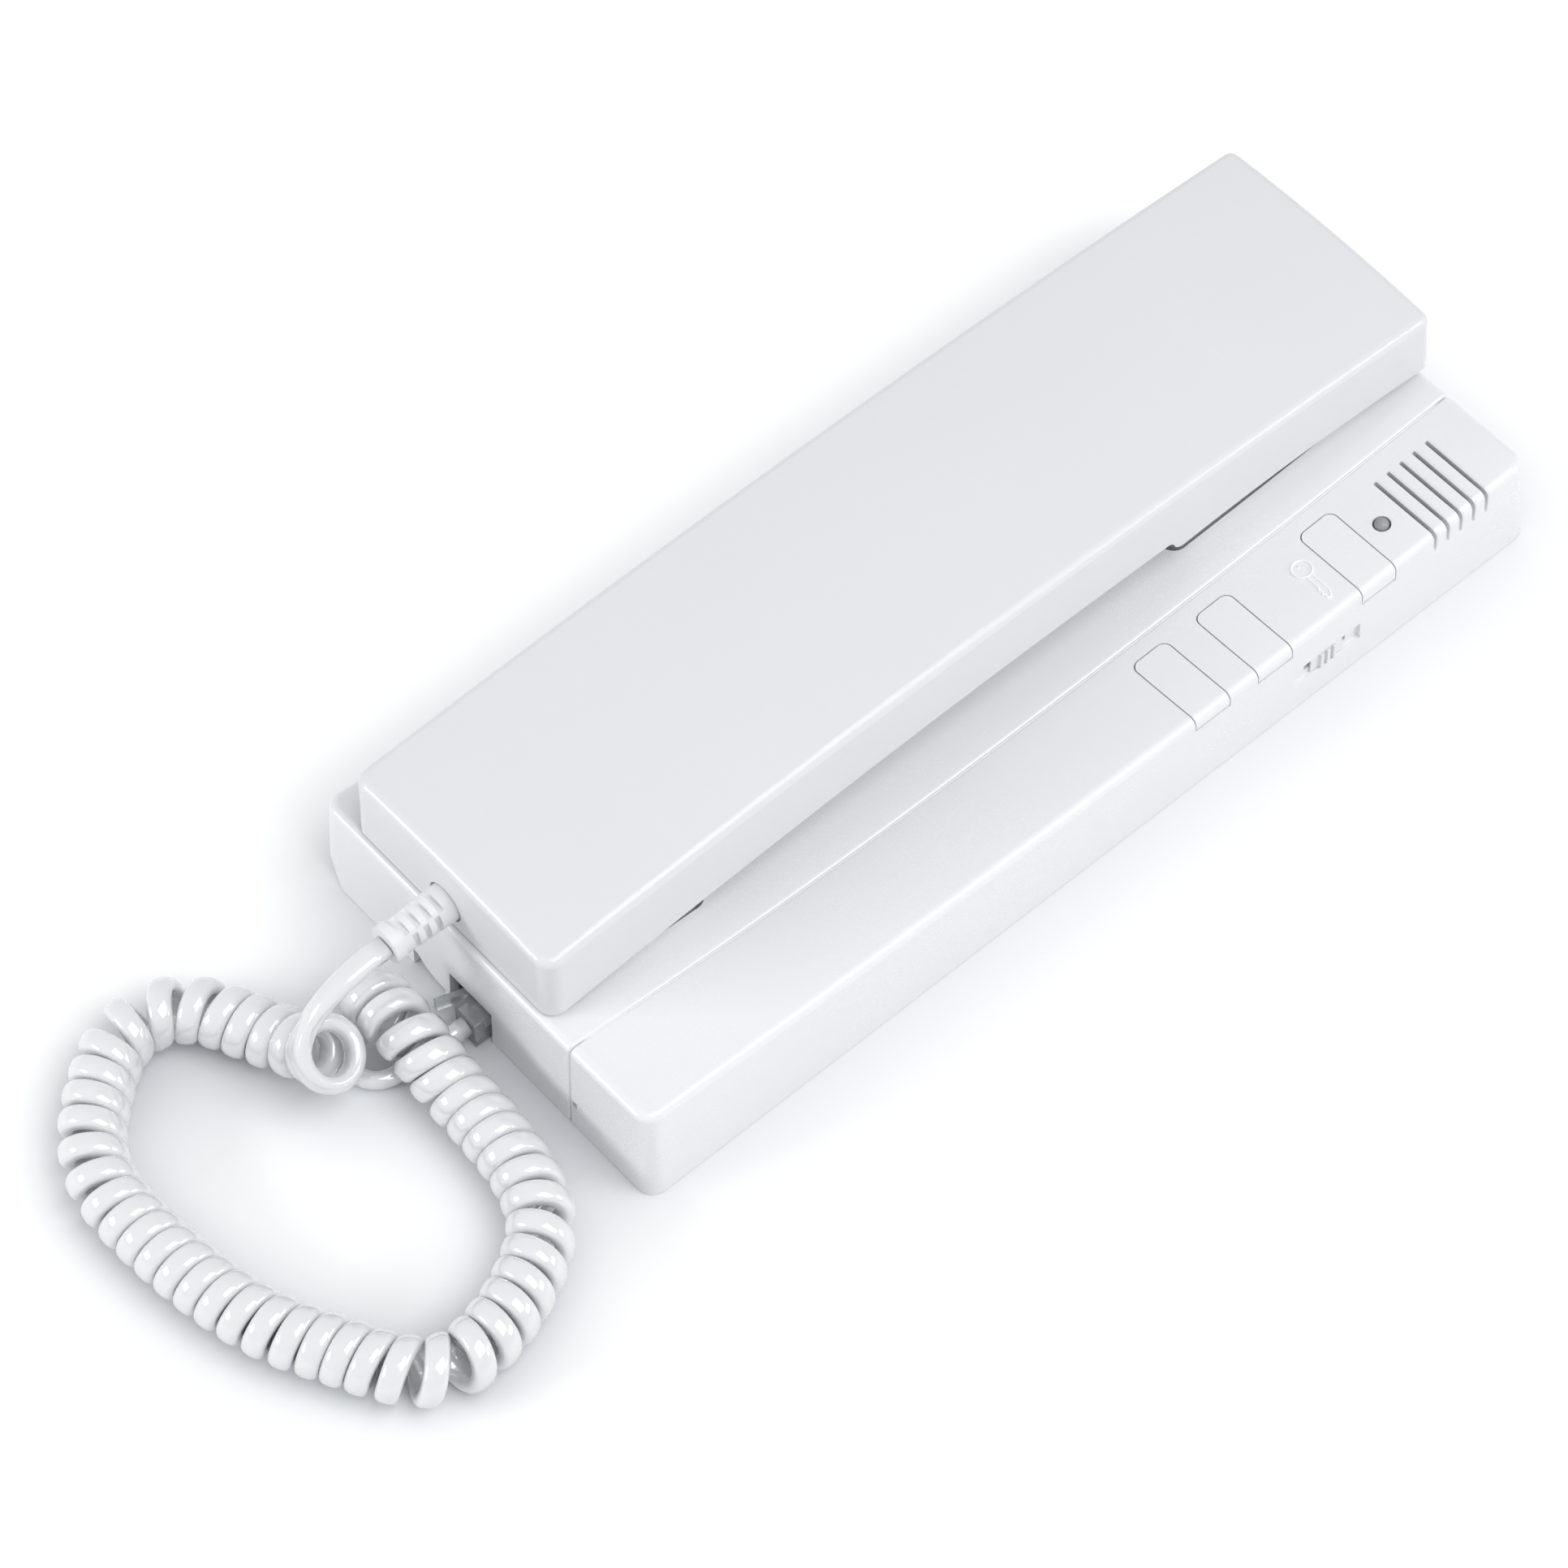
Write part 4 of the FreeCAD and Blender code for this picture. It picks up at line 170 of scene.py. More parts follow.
class StationLook(bpy.types.PropertyGroup):
    """Sizes and colours of the dressed station."""

    cord_width: FloatProperty(
        name="Cord width", description="Width of the flat cord that spaces the coil's turns",
        default=0.0039, min=0.001, max=0.01, subtype="DISTANCE", unit="LENGTH")
    cord_show_width: FloatProperty(
        name="Shown cord width", description="Width of the cord as it is shown",
        default=0.0046, min=0.001, max=0.01, subtype="DISTANCE", unit="LENGTH")
    cord_thick: FloatProperty(
        name="Cord thickness", description="Thickness of the flat cord",
        default=0.0034, min=0.001, max=0.01, subtype="DISTANCE", unit="LENGTH")
    coil_radius: FloatProperty(
        name="Coil radius", description="Radius of the wire's middle round the coil's middle",
        default=0.0047, min=0.001, max=0.02, subtype="DISTANCE", unit="LENGTH")
    coil_end_radius: FloatProperty(
        name="First turn's radius", description="Radius where the coil's first turn flares",
        default=0.0067, min=0.001, max=0.02, subtype="DISTANCE", unit="LENGTH")
    coil_turns: FloatProperty(
        name="Turns", description="Turns of the curly cord", default=46.12, min=1, max=100)
    coil_start: FloatProperty(
        name="Start angle", description="Where the first turn starts round the coil's middle",
        default=math.radians(136.6), subtype="ANGLE", unit="ROTATION")
    coil_pitch: FloatProperty(
        name="Pitch", description="Least distance from turn to turn",
        default=0.0047, min=0.001, max=0.02, subtype="DISTANCE", unit="LENGTH")
    coil_gap: FloatProperty(
        name="Gap", description="Gap that the turns keep inside a bend",
        default=0.0006, min=0.0, max=0.01, subtype="DISTANCE", unit="LENGTH")
    cord_sides: IntProperty(
        name="Cord sides", description="Points round the cord's section", default=20, min=8,
        max=48)
    sign_width: FloatProperty(
        name="Sign line", description="Width of the raised lines of the key sign",
        default=0.00042, min=0.0001, max=0.002, subtype="DISTANCE", unit="LENGTH")
    sign_height: FloatProperty(
        name="Sign height", description="How far the key sign stands up",
        default=0.00034, min=0.00005, max=0.001, subtype="DISTANCE", unit="LENGTH")
    housing_color: FloatVectorProperty(
        name="Housing", description="Colour of the moulded housing", subtype="COLOR",
        default=(0.835, 0.845, 0.86), min=0, max=1)
    # The handset's cover is the housing's white made darker: painted shade for the lesser light
    # on its top
    handset_painted_shade_color: FloatVectorProperty(
        name="Handset", description="Colour of the handset's cover", subtype="COLOR",
        default=(0.75, 0.758, 0.773), min=0, max=1)
    cord_color: FloatVectorProperty(
        name="Cord", description="Colour of the cord's jacket", subtype="COLOR",
        default=(0.745, 0.752, 0.765), min=0, max=1)
    floor_color: FloatVectorProperty(
        name="Floor", description="Colour of the floor", subtype="COLOR",
        default=(0.90, 0.90, 0.90), min=0, max=1)
    floor_lift: FloatProperty(
        name="Floor lift", description="How much brighter the floor shows than it is lit",
        default=0.22, min=0.0, max=1.0)
    sky_color: FloatVectorProperty(
        name="Surroundings", description="Colour of the surroundings", subtype="COLOR",
        default=(0.97, 0.985, 1.0), min=0, max=1)
    sky_strength: FloatProperty(
        name="Surroundings' light", description="How strongly the surroundings light the part",
        default=0.52, min=0.0, max=2.0)


def add_node(tree, kind, settings, sockets, output=0):
    """Adds a node: first its settings, then the values or links of its sockets."""
    node = tree.nodes.new(kind)
    for name, value in settings.items():
        setattr(node, name, value)
    for key, value in sockets.items():
        if isinstance(value, Shade):
            tree.links.new(value.socket, node.inputs[key])
        else:
            node.inputs[key].default_value = value
    return Shade(tree, node.outputs[output])


class Shade:
    """One shader socket. Python's operators on it add Math nodes, numbers among them."""

    def __init__(self, tree, socket):
        self.tree = tree
        self.socket = socket

    def calc(self, operation, first, second):
        return add_node(self.tree, "ShaderNodeMath", {"operation": operation},
                        {0: first, 1: second})

    def __add__(self, other):
        return self.calc("ADD", self, other)

    def __sub__(self, other):
        return self.calc("SUBTRACT", self, other)

    def __rsub__(self, other):
        return self.calc("SUBTRACT", other, self)

    def __mul__(self, other):
        return self.calc("MULTIPLY", self, other)

    def wrapped(self, period):
        """The distance past the last multiple of the period."""
        return self.calc("FLOORED_MODULO", self, period)

    def clamped(self):
        """Held between 0 and 1."""
        return self.calc("MINIMUM", self.calc("MAXIMUM", self, 0.0), 1.0)


class Finish:
    """A material under a plain name: its Principled shader and the nodes that feed it."""

    def __init__(self, name, **constants):
        self.material = bpy.data.materials.new(name)
        self.material.use_nodes = True
        self.tree = self.material.node_tree
        self.shader = self.tree.nodes["Principled BSDF"]
        for socket, value in constants.items():
            self.shader.inputs[socket.replace("_", " ")].default_value = value
        self.place = self.add("ShaderNodeTexCoord", {}, {}, "Object")

    def add(self, kind, settings, sockets, output=0):
        return add_node(self.tree, kind, settings, sockets, output)

    def axis(self, name):
        """One coordinate of the place on the object, in metres."""
        return self.add("ShaderNodeSeparateXYZ", {}, {0: self.place}, name)

    def noise(self, per_metre, detail=3.0, roughness=0.55, stretch=(1.0, 1.0, 1.0)):
        """Noise from 0 to 1 with so many swells to the metre, drawn out by stretch."""
        place = self.place
        if stretch != (1.0, 1.0, 1.0):
            place = self.add("ShaderNodeMapping", {}, {"Vector": place, "Scale": stretch})
        return self.add("ShaderNodeTexNoise", {"noise_dimensions": "3D"},
                        {"Vector": place, "Scale": per_metre, "Detail": detail,
                         "Roughness": roughness})

    def bands(self, per_metre, direction, **sockets):
        """Waves from 0 to 1 that repeat along one direction."""
        return self.add("ShaderNodeTexWave",
                        {"wave_type": "BANDS", "bands_direction": direction},
                        {"Vector": self.place, "Scale": per_metre, **sockets})

    def cells(self, per_metre):
        """Distance from the middles of scattered cells, from 0 to about 1."""
        return self.add("ShaderNodeTexVoronoi", {"feature": "F1"},
                        {"Vector": self.place, "Scale": per_metre})

    def blend(self, share, first, second):
        """The first colour where share is 0, the second where it is 1."""
        first, second = ((*c, 1.0) if isinstance(c, tuple) else c for c in (first, second))
        return self.add("ShaderNodeMix", {"data_type": "RGBA"}, {0: share, 6: first, 7: second},
                        2)

    def feed(self, socket, value):
        """Links a shade to one of the shader's sockets, or sets its value."""
        if isinstance(value, Shade):
            self.tree.links.new(value.socket, self.shader.inputs[socket])
        else:
            self.shader.inputs[socket].default_value = value

    def bump(self, height, strength, depth):
        """Tilts the surface's normals as if it stood up by height times depth, in metres."""
        self.feed("Normal", self.add(
            "ShaderNodeBump", {}, {"Strength": strength, "Distance": depth, "Height": height},
            "Normal"))


def tinted(color, factor):
    """The colour made lighter or darker by a factor."""
    return tuple(min(1.0, part * factor) for part in color)


def spark_texture(name, color, roughness, per_metre=2600.0, depth=0.00002, strength=0.25,
                  tone=0.02, relief=None, **constants):
    """Moulded plastic. Colour: drifts over some centimetres, with finer clouds in it.
    Roughness: follows the drift and the grain. Bump: the mould's spark-eroded grain, cells
    and noise of a third of a millimetre together. A relief is sunk in it, and its fall also
    darkens the colour as painted shade."""
    finish = Finish(name, **constants)
    drift = finish.noise(22.0, 2.0)
    cloud = finish.noise(340.0, 4.0)
    grain = finish.noise(per_metre, 3.0, 0.6)
    pits = finish.cells(per_metre * 0.8)
    mottle = (drift * 0.6 + cloud * 0.4).clamped()
    mottled = finish.blend(mottle, tinted(color, 1 - tone), tinted(color, 1 + tone))
    finish.feed("Roughness", (drift - 0.5) * 0.10 + (grain - 0.5) * 0.14 + roughness)
    skin = grain * 0.7 + pits * 0.3
    if relief:
        fall = relief(finish)
        # Painted shade: the colour darkens beside each speaker slot, by the share of the
        # relief's fall
        mottled = finish.blend(fall * SLOT_PAINTED_SHADE, mottled, tinted(color, 0.5))
        finish.bump(skin * (strength * depth) - fall * SLOT_FALL, 1.0, 1.0)
    else:
        finish.bump(skin, strength, depth)
    finish.feed("Base Color", mottled)
    return finish


# The share given here also darkens the strip's colour beside the slots: painted shade
def eased_slots(finish):
    """How far the strip's front has fallen beside its speaker slots, up to 1: on the upper
    side of each, the front falls to the slot along a parabola, in from their left ends."""
    above = (finish.axis("Y") - SLOTS_FROM).wrapped(SLOT_PITCH) * (1 / SLOT_EASE)
    fall = 1.0 - above.clamped()
    low = ((finish.axis("Y") - SLOTS_FROM + EASE_BEFORE) * FADE_Y).clamped()
    high = ((EASE_END - finish.axis("Y")) * FADE_Y).clamped()
    right = ((finish.axis("X") - SLOTS_LEFT) * FADE_X).clamped()
    over = ((finish.axis("Z") - SLOTS_LOW) * FADE_Z).clamped()
    return fall * fall * low * high * right * over


def glossy_jacket(name, color):
    """The cord's soft jacket. Colour: hardly drifts. Roughness: low, with duller handling
    marks a few centimetres apart. Bump: slow swells of the extruded jacket and a fine haze."""
    finish = Finish(name, Specular_IOR_Level=0.9, Coat_Roughness=0.04, Coat_IOR=2.15,
                    Subsurface_Weight=0.7, Subsurface_Scale=0.0025,
                    Subsurface_Radius=(1.0, 1.0, 1.0))
    drift = finish.noise(30.0, 2.0)
    swell = finish.noise(420.0, 2.0)
    haze = finish.noise(5200.0, 2.0)
    finish.feed("Base Color", finish.blend(drift, tinted(color, 0.985), tinted(color, 1.012)))
    finish.feed("Roughness", drift * 0.06 + haze * 0.04 + 0.10)
    finish.feed("Coat Weight", (drift * 0.2 + 0.85).clamped())
    finish.bump(swell * 0.8 + haze * 0.2, 0.12, 0.00006)
    return finish


def soft_sleeve(name, color):
    """Moulded soft plastic of the strain relief: satin, with a faint cloud and flow lines."""
    finish = Finish(name)
    cloud = finish.noise(260.0, 3.0)
    flow = finish.noise(500.0, 2.0, stretch=(1.0, 0.2, 1.0))
    grain = finish.noise(3800.0, 2.0)
    finish.feed("Base Color", finish.blend(cloud, tinted(color, 0.97), tinted(color, 1.02)))
    finish.feed("Roughness", cloud * 0.15 + grain * 0.1 + 0.3)
    finish.bump(flow * 0.6 + grain * 0.4, 0.2, 0.00004)
    return finish


def soldered_board(name, color):
    """Solder mask over laminate: copper tracks show as lighter bands, the glass weave as a
    fine cross grain."""
    finish = Finish(name, Coat_Roughness=0.2)
    across = finish.bands(160.0, "X", Distortion=1.5, Detail=1.0)
    weave = finish.bands(700.0, "X") * finish.bands(700.0, "Y")
    tracks = ((across - 0.55) * 12.0).clamped()
    finish.feed("Base Color", finish.blend(tracks, tinted(color, 0.85), tinted(color, 1.7)))
    finish.feed("Roughness", tracks * -0.1 + finish.noise(900.0) * 0.15 + 0.32)
    finish.bump(tracks * 0.7 + weave * 0.3, 0.4, 0.00004)
    finish.feed("Coat Weight", 0.4)
    return finish


def brushed_metal(name, color, roughness, stretch):
    """Drawn or plated metal: fine lines along the pull, duller in patches."""
    finish = Finish(name)
    lines = finish.noise(2400.0, 3.0, stretch=stretch)
    patch = finish.noise(300.0, 3.0)
    finish.feed("Metallic", (patch * 0.15 + 0.85).clamped())
    finish.feed("Base Color", finish.blend(patch, tinted(color, 0.86), tinted(color, 1.06)))
    finish.feed("Roughness", lines * 0.16 + patch * 0.12 + roughness)
    finish.bump(lines, 0.3, 0.00002)
    return finish


def pressed_fibre(name, color):
    """Pressed paper or foam: matted fibres and open pores."""
    finish = Finish(name)
    fibre = finish.noise(1500.0, 5.0, 0.7, stretch=(1.0, 0.35, 1.0))
    pores = finish.cells(1900.0)
    finish.feed("Base Color", finish.blend(fibre, tinted(color, 0.6), tinted(color, 1.5)))
    finish.feed("Roughness", (fibre * 0.2 + 0.75).clamped())
    finish.bump(fibre * 0.5 + pores * 0.5, 0.6, 0.00012)
    return finish


def clear_moulding(name, color, roughness, transmission):
    """Clear moulded plastic: faint flow lines, and a little haze in the middle."""
    finish = Finish(name, Transmission_Weight=transmission, IOR=1.49)
    flow = finish.noise(380.0, 3.0, stretch=(1.0, 0.4, 1.0))
    haze = finish.noise(1700.0, 2.0)
    finish.feed("Base Color", finish.blend(flow, tinted(color, 0.92), tinted(color, 1.04)))
    finish.feed("Roughness", haze * 0.08 + roughness)
    finish.bump(flow * 0.7 + haze * 0.3, 0.15, 0.00003)
    return finish


def finishes(look):
    """The finish of every slot in the record, and those of single nodes and pieces."""
    white = tuple(look.housing_color)
    return {
        "housing_plastic": spark_texture("housing_plastic", white, 0.25,
                                         Specular_IOR_Level=GLOSS),
        "key_plastic": spark_texture("key_plastic", tinted(white, 1.01), 0.25, 3000.0,
                                     Specular_IOR_Level=GLOSS),
        "cord_jacket": glossy_jacket("cord_jacket", tuple(look.cord_color)),
        "sleeve_rubber": soft_sleeve("sleeve_rubber", white),
        "inner_plastic": spark_texture("inner_plastic", tinted(white, 0.97), 0.42, 1800.0),
        "black_plastic": spark_texture("black_plastic", (0.022, 0.022, 0.024), 0.45, 2200.0,
                                       tone=0.2),
        "terminal_plastic": spark_texture("terminal_plastic", (0.03, 0.16, 0.06), 0.42,
                                          2000.0, tone=0.08),
        "board_laminate": soldered_board("board_laminate", (0.02, 0.12, 0.04)),
        "clear_plastic": clear_moulding("clear_plastic", (0.86, 0.88, 0.89), 0.06, 0.85),
        "contact_brass": brushed_metal("contact_brass", (0.80, 0.58, 0.24), 0.18,
                                       (0.3, 1.0, 1.0)),
        "screw_steel": brushed_metal("screw_steel", (0.62, 0.63, 0.65), 0.24,
                                     (1.0, 0.3, 1.0)),
        "silicone": soft_sleeve("silicone", (0.62, 0.63, 0.64)),
        "seal_foam": pressed_fibre("seal_foam", (0.03, 0.03, 0.03)),
        "capsule_metal": brushed_metal("capsule_metal", (0.72, 0.72, 0.73), 0.3,
                                       (1.0, 1.0, 0.3)),
        "cone_paper": pressed_fibre("cone_paper", (0.025, 0.025, 0.027)),
        # These stand in for their slot's own finish on one node or piece each
        # The handset's cover takes a darker white than the housing: painted shade
        "handset_cover": spark_texture("handset_painted_shade_plastic", tuple(look.handset_painted_shade_color), 0.23,
                                       Specular_IOR_Level=GLOSS),
        # The strip's finish carries painted shade beside its speaker slots
        "strip_cover": spark_texture("strip_plastic", white, 0.25, relief=eased_slots,
                                     Specular_IOR_Level=GLOSS),
        # The sign takes a brighter white than the housing: painted highlight on its raised
        # lines
        "key_sign": spark_texture("sign_painted_highlight", tinted(white, 1.16), 0.22, 3000.0,
                                  Specular_IOR_Level=GLOSS),
        "status_led": clear_moulding("lamp_lens", (0.44, 0.45, 0.47), 0.05, 0.25),
    }


def unit_rows(rows):
    """Each row made one long."""
    return rows / np.linalg.norm(rows, axis=1, keepdims=True)


def between(at, known, rows):
    """Each column of rows, read between its known places."""
    return np.stack([np.interp(at, known, column) for column in rows.T], axis=1)


def spline_points(points, resolution):
    """Points read from the smooth curve that has the given ones as its control points."""
    curve = bpy.data.curves.new("route", "CURVE")
    curve.dimensions = "3D"
    curve.resolution_u = resolution
    spline = curve.splines.new("NURBS")
    spline.points.add(len(points) - 1)
    spline.points.foreach_set("co", np.c_[points, np.ones(len(points))].ravel())
    spline.order_u = 3
    spline.use_endpoint_u = True
    holder = bpy.data.objects.new("route", curve)
    bpy.context.scene.collection.objects.link(holder)
    mesh = bpy.data.meshes.new_from_object(holder)
    found = np.empty(len(mesh.vertices) * 3)
    mesh.vertices.foreach_get("co", found)
    bpy.data.objects.remove(holder)
    bpy.data.curves.remove(curve)
    bpy.data.meshes.remove(mesh)
    return found.reshape(-1, 3)


def grid_faces(rows, columns, closed_rows=False, closed_columns=False):
    """Four corners for each face of a grid of points, row after row."""
    across = np.arange(rows if closed_rows else rows - 1)
    down = np.arange(columns if closed_columns else columns - 1)
    row, column = np.meshgrid(across, down, indexing="ij")
    after_row, after_column = (row + 1) % rows, (column + 1) % columns
    corners = (row * columns + column, row * columns + after_column,
               after_row * columns + after_column, after_row * columns + column)
    return np.stack([corner.ravel() for corner in corners], axis=1)


def new_piece(name, points, faces, material, body=None):
    """A mesh object with the given points and faces, finished and riding on its body."""
    mesh = bpy.data.meshes.new(name)
    mesh.from_pydata(points.tolist(), [], [list(face) for face in faces])
    mesh.update()
    mesh.polygons.foreach_set("use_smooth", [True] * len(mesh.polygons))
    mesh.materials.append(material)
    piece = bpy.data.objects.new(name, mesh)
    bpy.context.scene.collection.objects.link(piece)
    if body:
        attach(piece, body)
    return piece


def helix(look):
    """The curly cord's turns: each control point stands one radius off the middle line, at an
    angle that grows by a full turn for every pitch. The pitch widens where the line bends, so
    that the turns keep clear of each other on its inner side. The curve runs a little inside
    its control points, which therefore stand out further by as much. Gives the points and
    the direction of the middle line at each."""
    middle = spline_points(COIL, MIDDLE_STEPS)
    steps = np.linalg.norm(np.diff(middle, axis=0), axis=1)
    along = np.r_[0.0, np.cumsum(steps)]
    ahead = unit_rows(np.gradient(middle, along, axis=0))
    bend = np.linalg.norm(np.gradient(ahead, along, axis=0), axis=1)
    tight = (look.cord_width + look.coil_gap) / (1 - look.coil_radius * bend)
    crowding = 1 / np.maximum(look.coil_pitch, tight)
    turned = np.r_[0.0, np.cumsum(steps * (crowding[1:] + crowding[:-1]) / 2)]
    turned *= look.coil_turns / turned[-1]
    at = np.linspace(0, look.coil_turns, math.ceil(look.coil_turns * POINTS_PER_TURN) + 1)
    axis = unit_rows(between(at, turned, ahead))
    side = unit_rows(np.cross(axis, (0.0, 0.0, 1.0)))
    up = np.cross(side, axis)
    flare = np.maximum(0.0, 1 - at / FLARE_TURNS) ** FLARE_POWER
    radius = look.coil_radius + (look.coil_end_radius - look.coil_radius) * flare
    inside = 0.75 + 0.25 * math.cos(2 * math.pi / POINTS_PER_TURN)
    radius = (radius / inside)[:, None]
    angle = (look.coil_start + 2 * math.pi * at)[:, None]
    points = between(at, turned, middle) + radius * (
        side * np.cos(angle) + up * np.sin(angle))
    return points, axis


def on_front(places, rise):
    """Points over places on the strip's front, in metres: the front's height there is a
    second-degree polynomial of the place, and the rise in millimetres stands on it."""
    x, y = np.moveaxis(places - FRONT_PLACE, -1, 0)
    terms = np.stack([np.ones_like(x), x, y, x * y, y * y, x * x], axis=-1)
    return np.concatenate([places, (terms @ FRONT_TERMS + rise)[..., None]], axis=-1) / 1000


def ridge(path, width, height, closed):
    """A low ridge carried along a path on the strip's front: half an ellipse over its width,
    closed below by a flat underside that is sunk in the front."""
    if closed:
        ahead = np.roll(path, -1, axis=0) - np.roll(path, 1, axis=0)
    else:
        ahead = np.gradient(path, axis=0)
    ahead = unit_rows(ahead)
    side = np.stack([-ahead[:, 1], ahead[:, 0]], axis=1)
    angle = np.linspace(0, np.pi, RIDGE_STEPS)
    across = np.r_[np.cos(angle), -1, 1] * width / 2
    rise = np.r_[np.sin(angle), -SIGN_SUNK, -SIGN_SUNK] * height
    places = path[:, None] + side[:, None] * across[None, :, None]
    points = on_front(places, rise[None])
    faces = grid_faces(len(path), len(across), closed, True).tolist()
    if not closed:
        first = list(range(len(across)))
        faces += [first[::-1], [(len(path) - 1) * len(across) + i for i in first]]
    return points.reshape(-1, 3), faces


def low_dome(place, radius, height):
    """A low dome on the strip's front: half an ellipse turned round its middle, with one
    point at its top and one under it, sunk in the front."""
    around = np.linspace(0, 2 * np.pi, DOME_SIDES, endpoint=False)
    slope = np.linspace(0, np.pi / 2, DOME_RINGS + 1)[:-1]
    out = radius * np.cos(slope)[:, None, None]
    rings = place + out * np.stack([np.cos(around), np.sin(around)], axis=1)[None]
    points = on_front(rings, height * np.sin(slope)[:, None]).reshape(-1, 3)
    poles = on_front(np.array([place, place]), np.array([1.0, -SIGN_SUNK]) * height)
    first = np.arange(DOME_SIDES)
    after = (first + 1) % DOME_SIDES
    last = (DOME_RINGS - 1) * DOME_SIDES
    top = np.stack([last + first, last + after, np.full(DOME_SIDES, len(points))], axis=1)
    below = np.stack([after, first, np.full(DOME_SIDES, len(points) + 1)], axis=1)
    faces = grid_faces(DOME_RINGS, DOME_SIDES, closed_columns=True)[:, ::-1].tolist()
    return np.vstack([points, poles]), faces + top.tolist() + below.tolist()


def tube(rings):
    """The points and faces of a closed tube through rings of points, with flat ends."""
    count, sides = rings.shape[:2]
    faces = grid_faces(count, sides, closed_columns=True).tolist()
    first = list(range(sides))
    faces += [first[::-1], [(count - 1) * sides + corner for corner in first]]
    return rings.reshape(-1, 3), faces


def joined(shapes):
    """One list of points and one of faces from several."""
    points, faces = [], []
    for some_points, some_faces in shapes:
        start = sum(len(part) for part in points)
        faces += [[start + corner for corner in face] for face in some_faces]
        points.append(some_points)
    return np.vstack(points), faces


class PieceOperator:
    """What the operators share: each makes its pieces from the sizes and colours."""
    bl_options = {"REGISTER", "UNDO"}

    def execute(self, context):
        self.make(context.scene.station_look)
        return {"FINISHED"}


class STATION_OT_finishes(PieceOperator, bpy.types.Operator):
    """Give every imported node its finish"""
    bl_idname = "station.finishes"
    bl_label = "Finishes"

    def make(self, look):
        made = finishes(look)
        for part in frame["record"]["subparts"]:
            node = frame["nodes"][part["node"]]
            node.data.materials.clear()
            finish = made.get(part["node"], made[part["material_slot"]])
            node.data.materials.append(finish.material)


class STATION_OT_cord(PieceOperator, bpy.types.Operator):
    """Wind the curly cord from the handset's sleeve to the plug"""
    bl_idname = "station.cord"
    bl_label = "Curly Cord"

    def make(self, look):
        """A flattened oval carried along the route. Its wide way follows the coil's middle
        line in the turns, and turns slowly over the free stretches to the sleeve's and the
        plug's own."""
        turns, axis = helix(look)
        controls = np.vstack([LEAD, turns, TAIL])
        lead_wide = np.linspace((-1.0, 0.0, 0.0), axis[0], len(LEAD) + 1)[:-1]
        tail_wide = np.linspace(axis[-1], (0.0, 0.0, -1.0), len(TAIL) + 1)[1:]
        wide = np.vstack([lead_wide, axis, tail_wide])
        path = spline_points(controls, CORD_STEPS)
        last = len(controls) - 2
        knots = np.r_[0.0, np.arange(last) + 0.5, last]
        at = np.linspace(0, last, len(path))
        ahead = unit_rows(np.gradient(path, axis=0))
        wide = between(at, knots, wide)
        wide = unit_rows(wide - ahead * np.sum(wide * ahead, axis=1, keepdims=True))
        thick = np.cross(ahead, wide)
        angle = np.linspace(0, 2 * np.pi, look.cord_sides, endpoint=False)
        over, out = np.cos(angle), np.sin(angle)
        over = np.sign(over) * np.abs(over) ** (2 / SECTION_POWER) * look.cord_show_width / 2
        out = np.sign(out) * np.abs(out) ** (2 / SECTION_POWER) * look.cord_thick / 2
        rings = path[:, None] + wide[:, None] * over[:, None] + thick[:, None] * out[:, None]
        points, faces = tube(rings)
        jacket = frame["nodes"]["cord_coil"].data.materials[0]
        piece = new_piece("curly_cord", points, faces, jacket)
        length = float(np.sum(np.linalg.norm(np.diff(path, axis=0), axis=1)))
        print("curly cord is %.4f m long" % length)
        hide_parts("cord_coil", "cord_lead", "cord_tail")
        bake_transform(piece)


class STATION_OT_bead(PieceOperator, bpy.types.Operator):
    """Lay the bead in the parting line of the base"""
    bl_idname = "station.bead"
    bl_label = "Parting Bead"

    def make(self, look):
        """An ellipse carried along the parting line's bow, a little under it: two arcs of a
        circle that meet level at the bow's lowest place. The bead sinks at both ends."""
        y = np.linspace(BEAD_FROM, BEAD_TO, BEAD_STEPS)
        end_z = np.where(y < BOW_LOW_Y, BOW_FOOT_Z, BOW_HEAD_Z)
        run = BOW_REACH - BOW_DRAFT * end_z + np.where(y < BOW_LOW_Y, BOW_LOW_Y, -BOW_LOW_Y)
        rise = end_z - BOW_LOW_Z
        radius = (run ** 2 / rise + rise) / 2
        z = BOW_LOW_Z + radius - np.sqrt(radius ** 2 - (y - BOW_LOW_Y) ** 2)
        from_end = np.minimum(y - BEAD_FROM, BEAD_TO - y)
        z -= BEAD_UNDER + BEAD_SINK * np.maximum(0.0, 1 - from_end / BEAD_SINK_RUN) ** 2
        angle = -np.linspace(0, 2 * np.pi, BEAD_SIDES, endpoint=False)
        rings = np.empty((len(y), len(angle), 3))
        rings[..., 0] = BOW_X + BEAD_HALF * np.cos(angle)
        rings[..., 1] = y[:, None]
        rings[..., 2] = z[:, None] + BEAD_TALL * np.sin(angle)
        points, faces = tube(rings)
        new_piece("parting_bead", points / 1000, faces, bpy.data.materials["strip_plastic"],
                  "base")


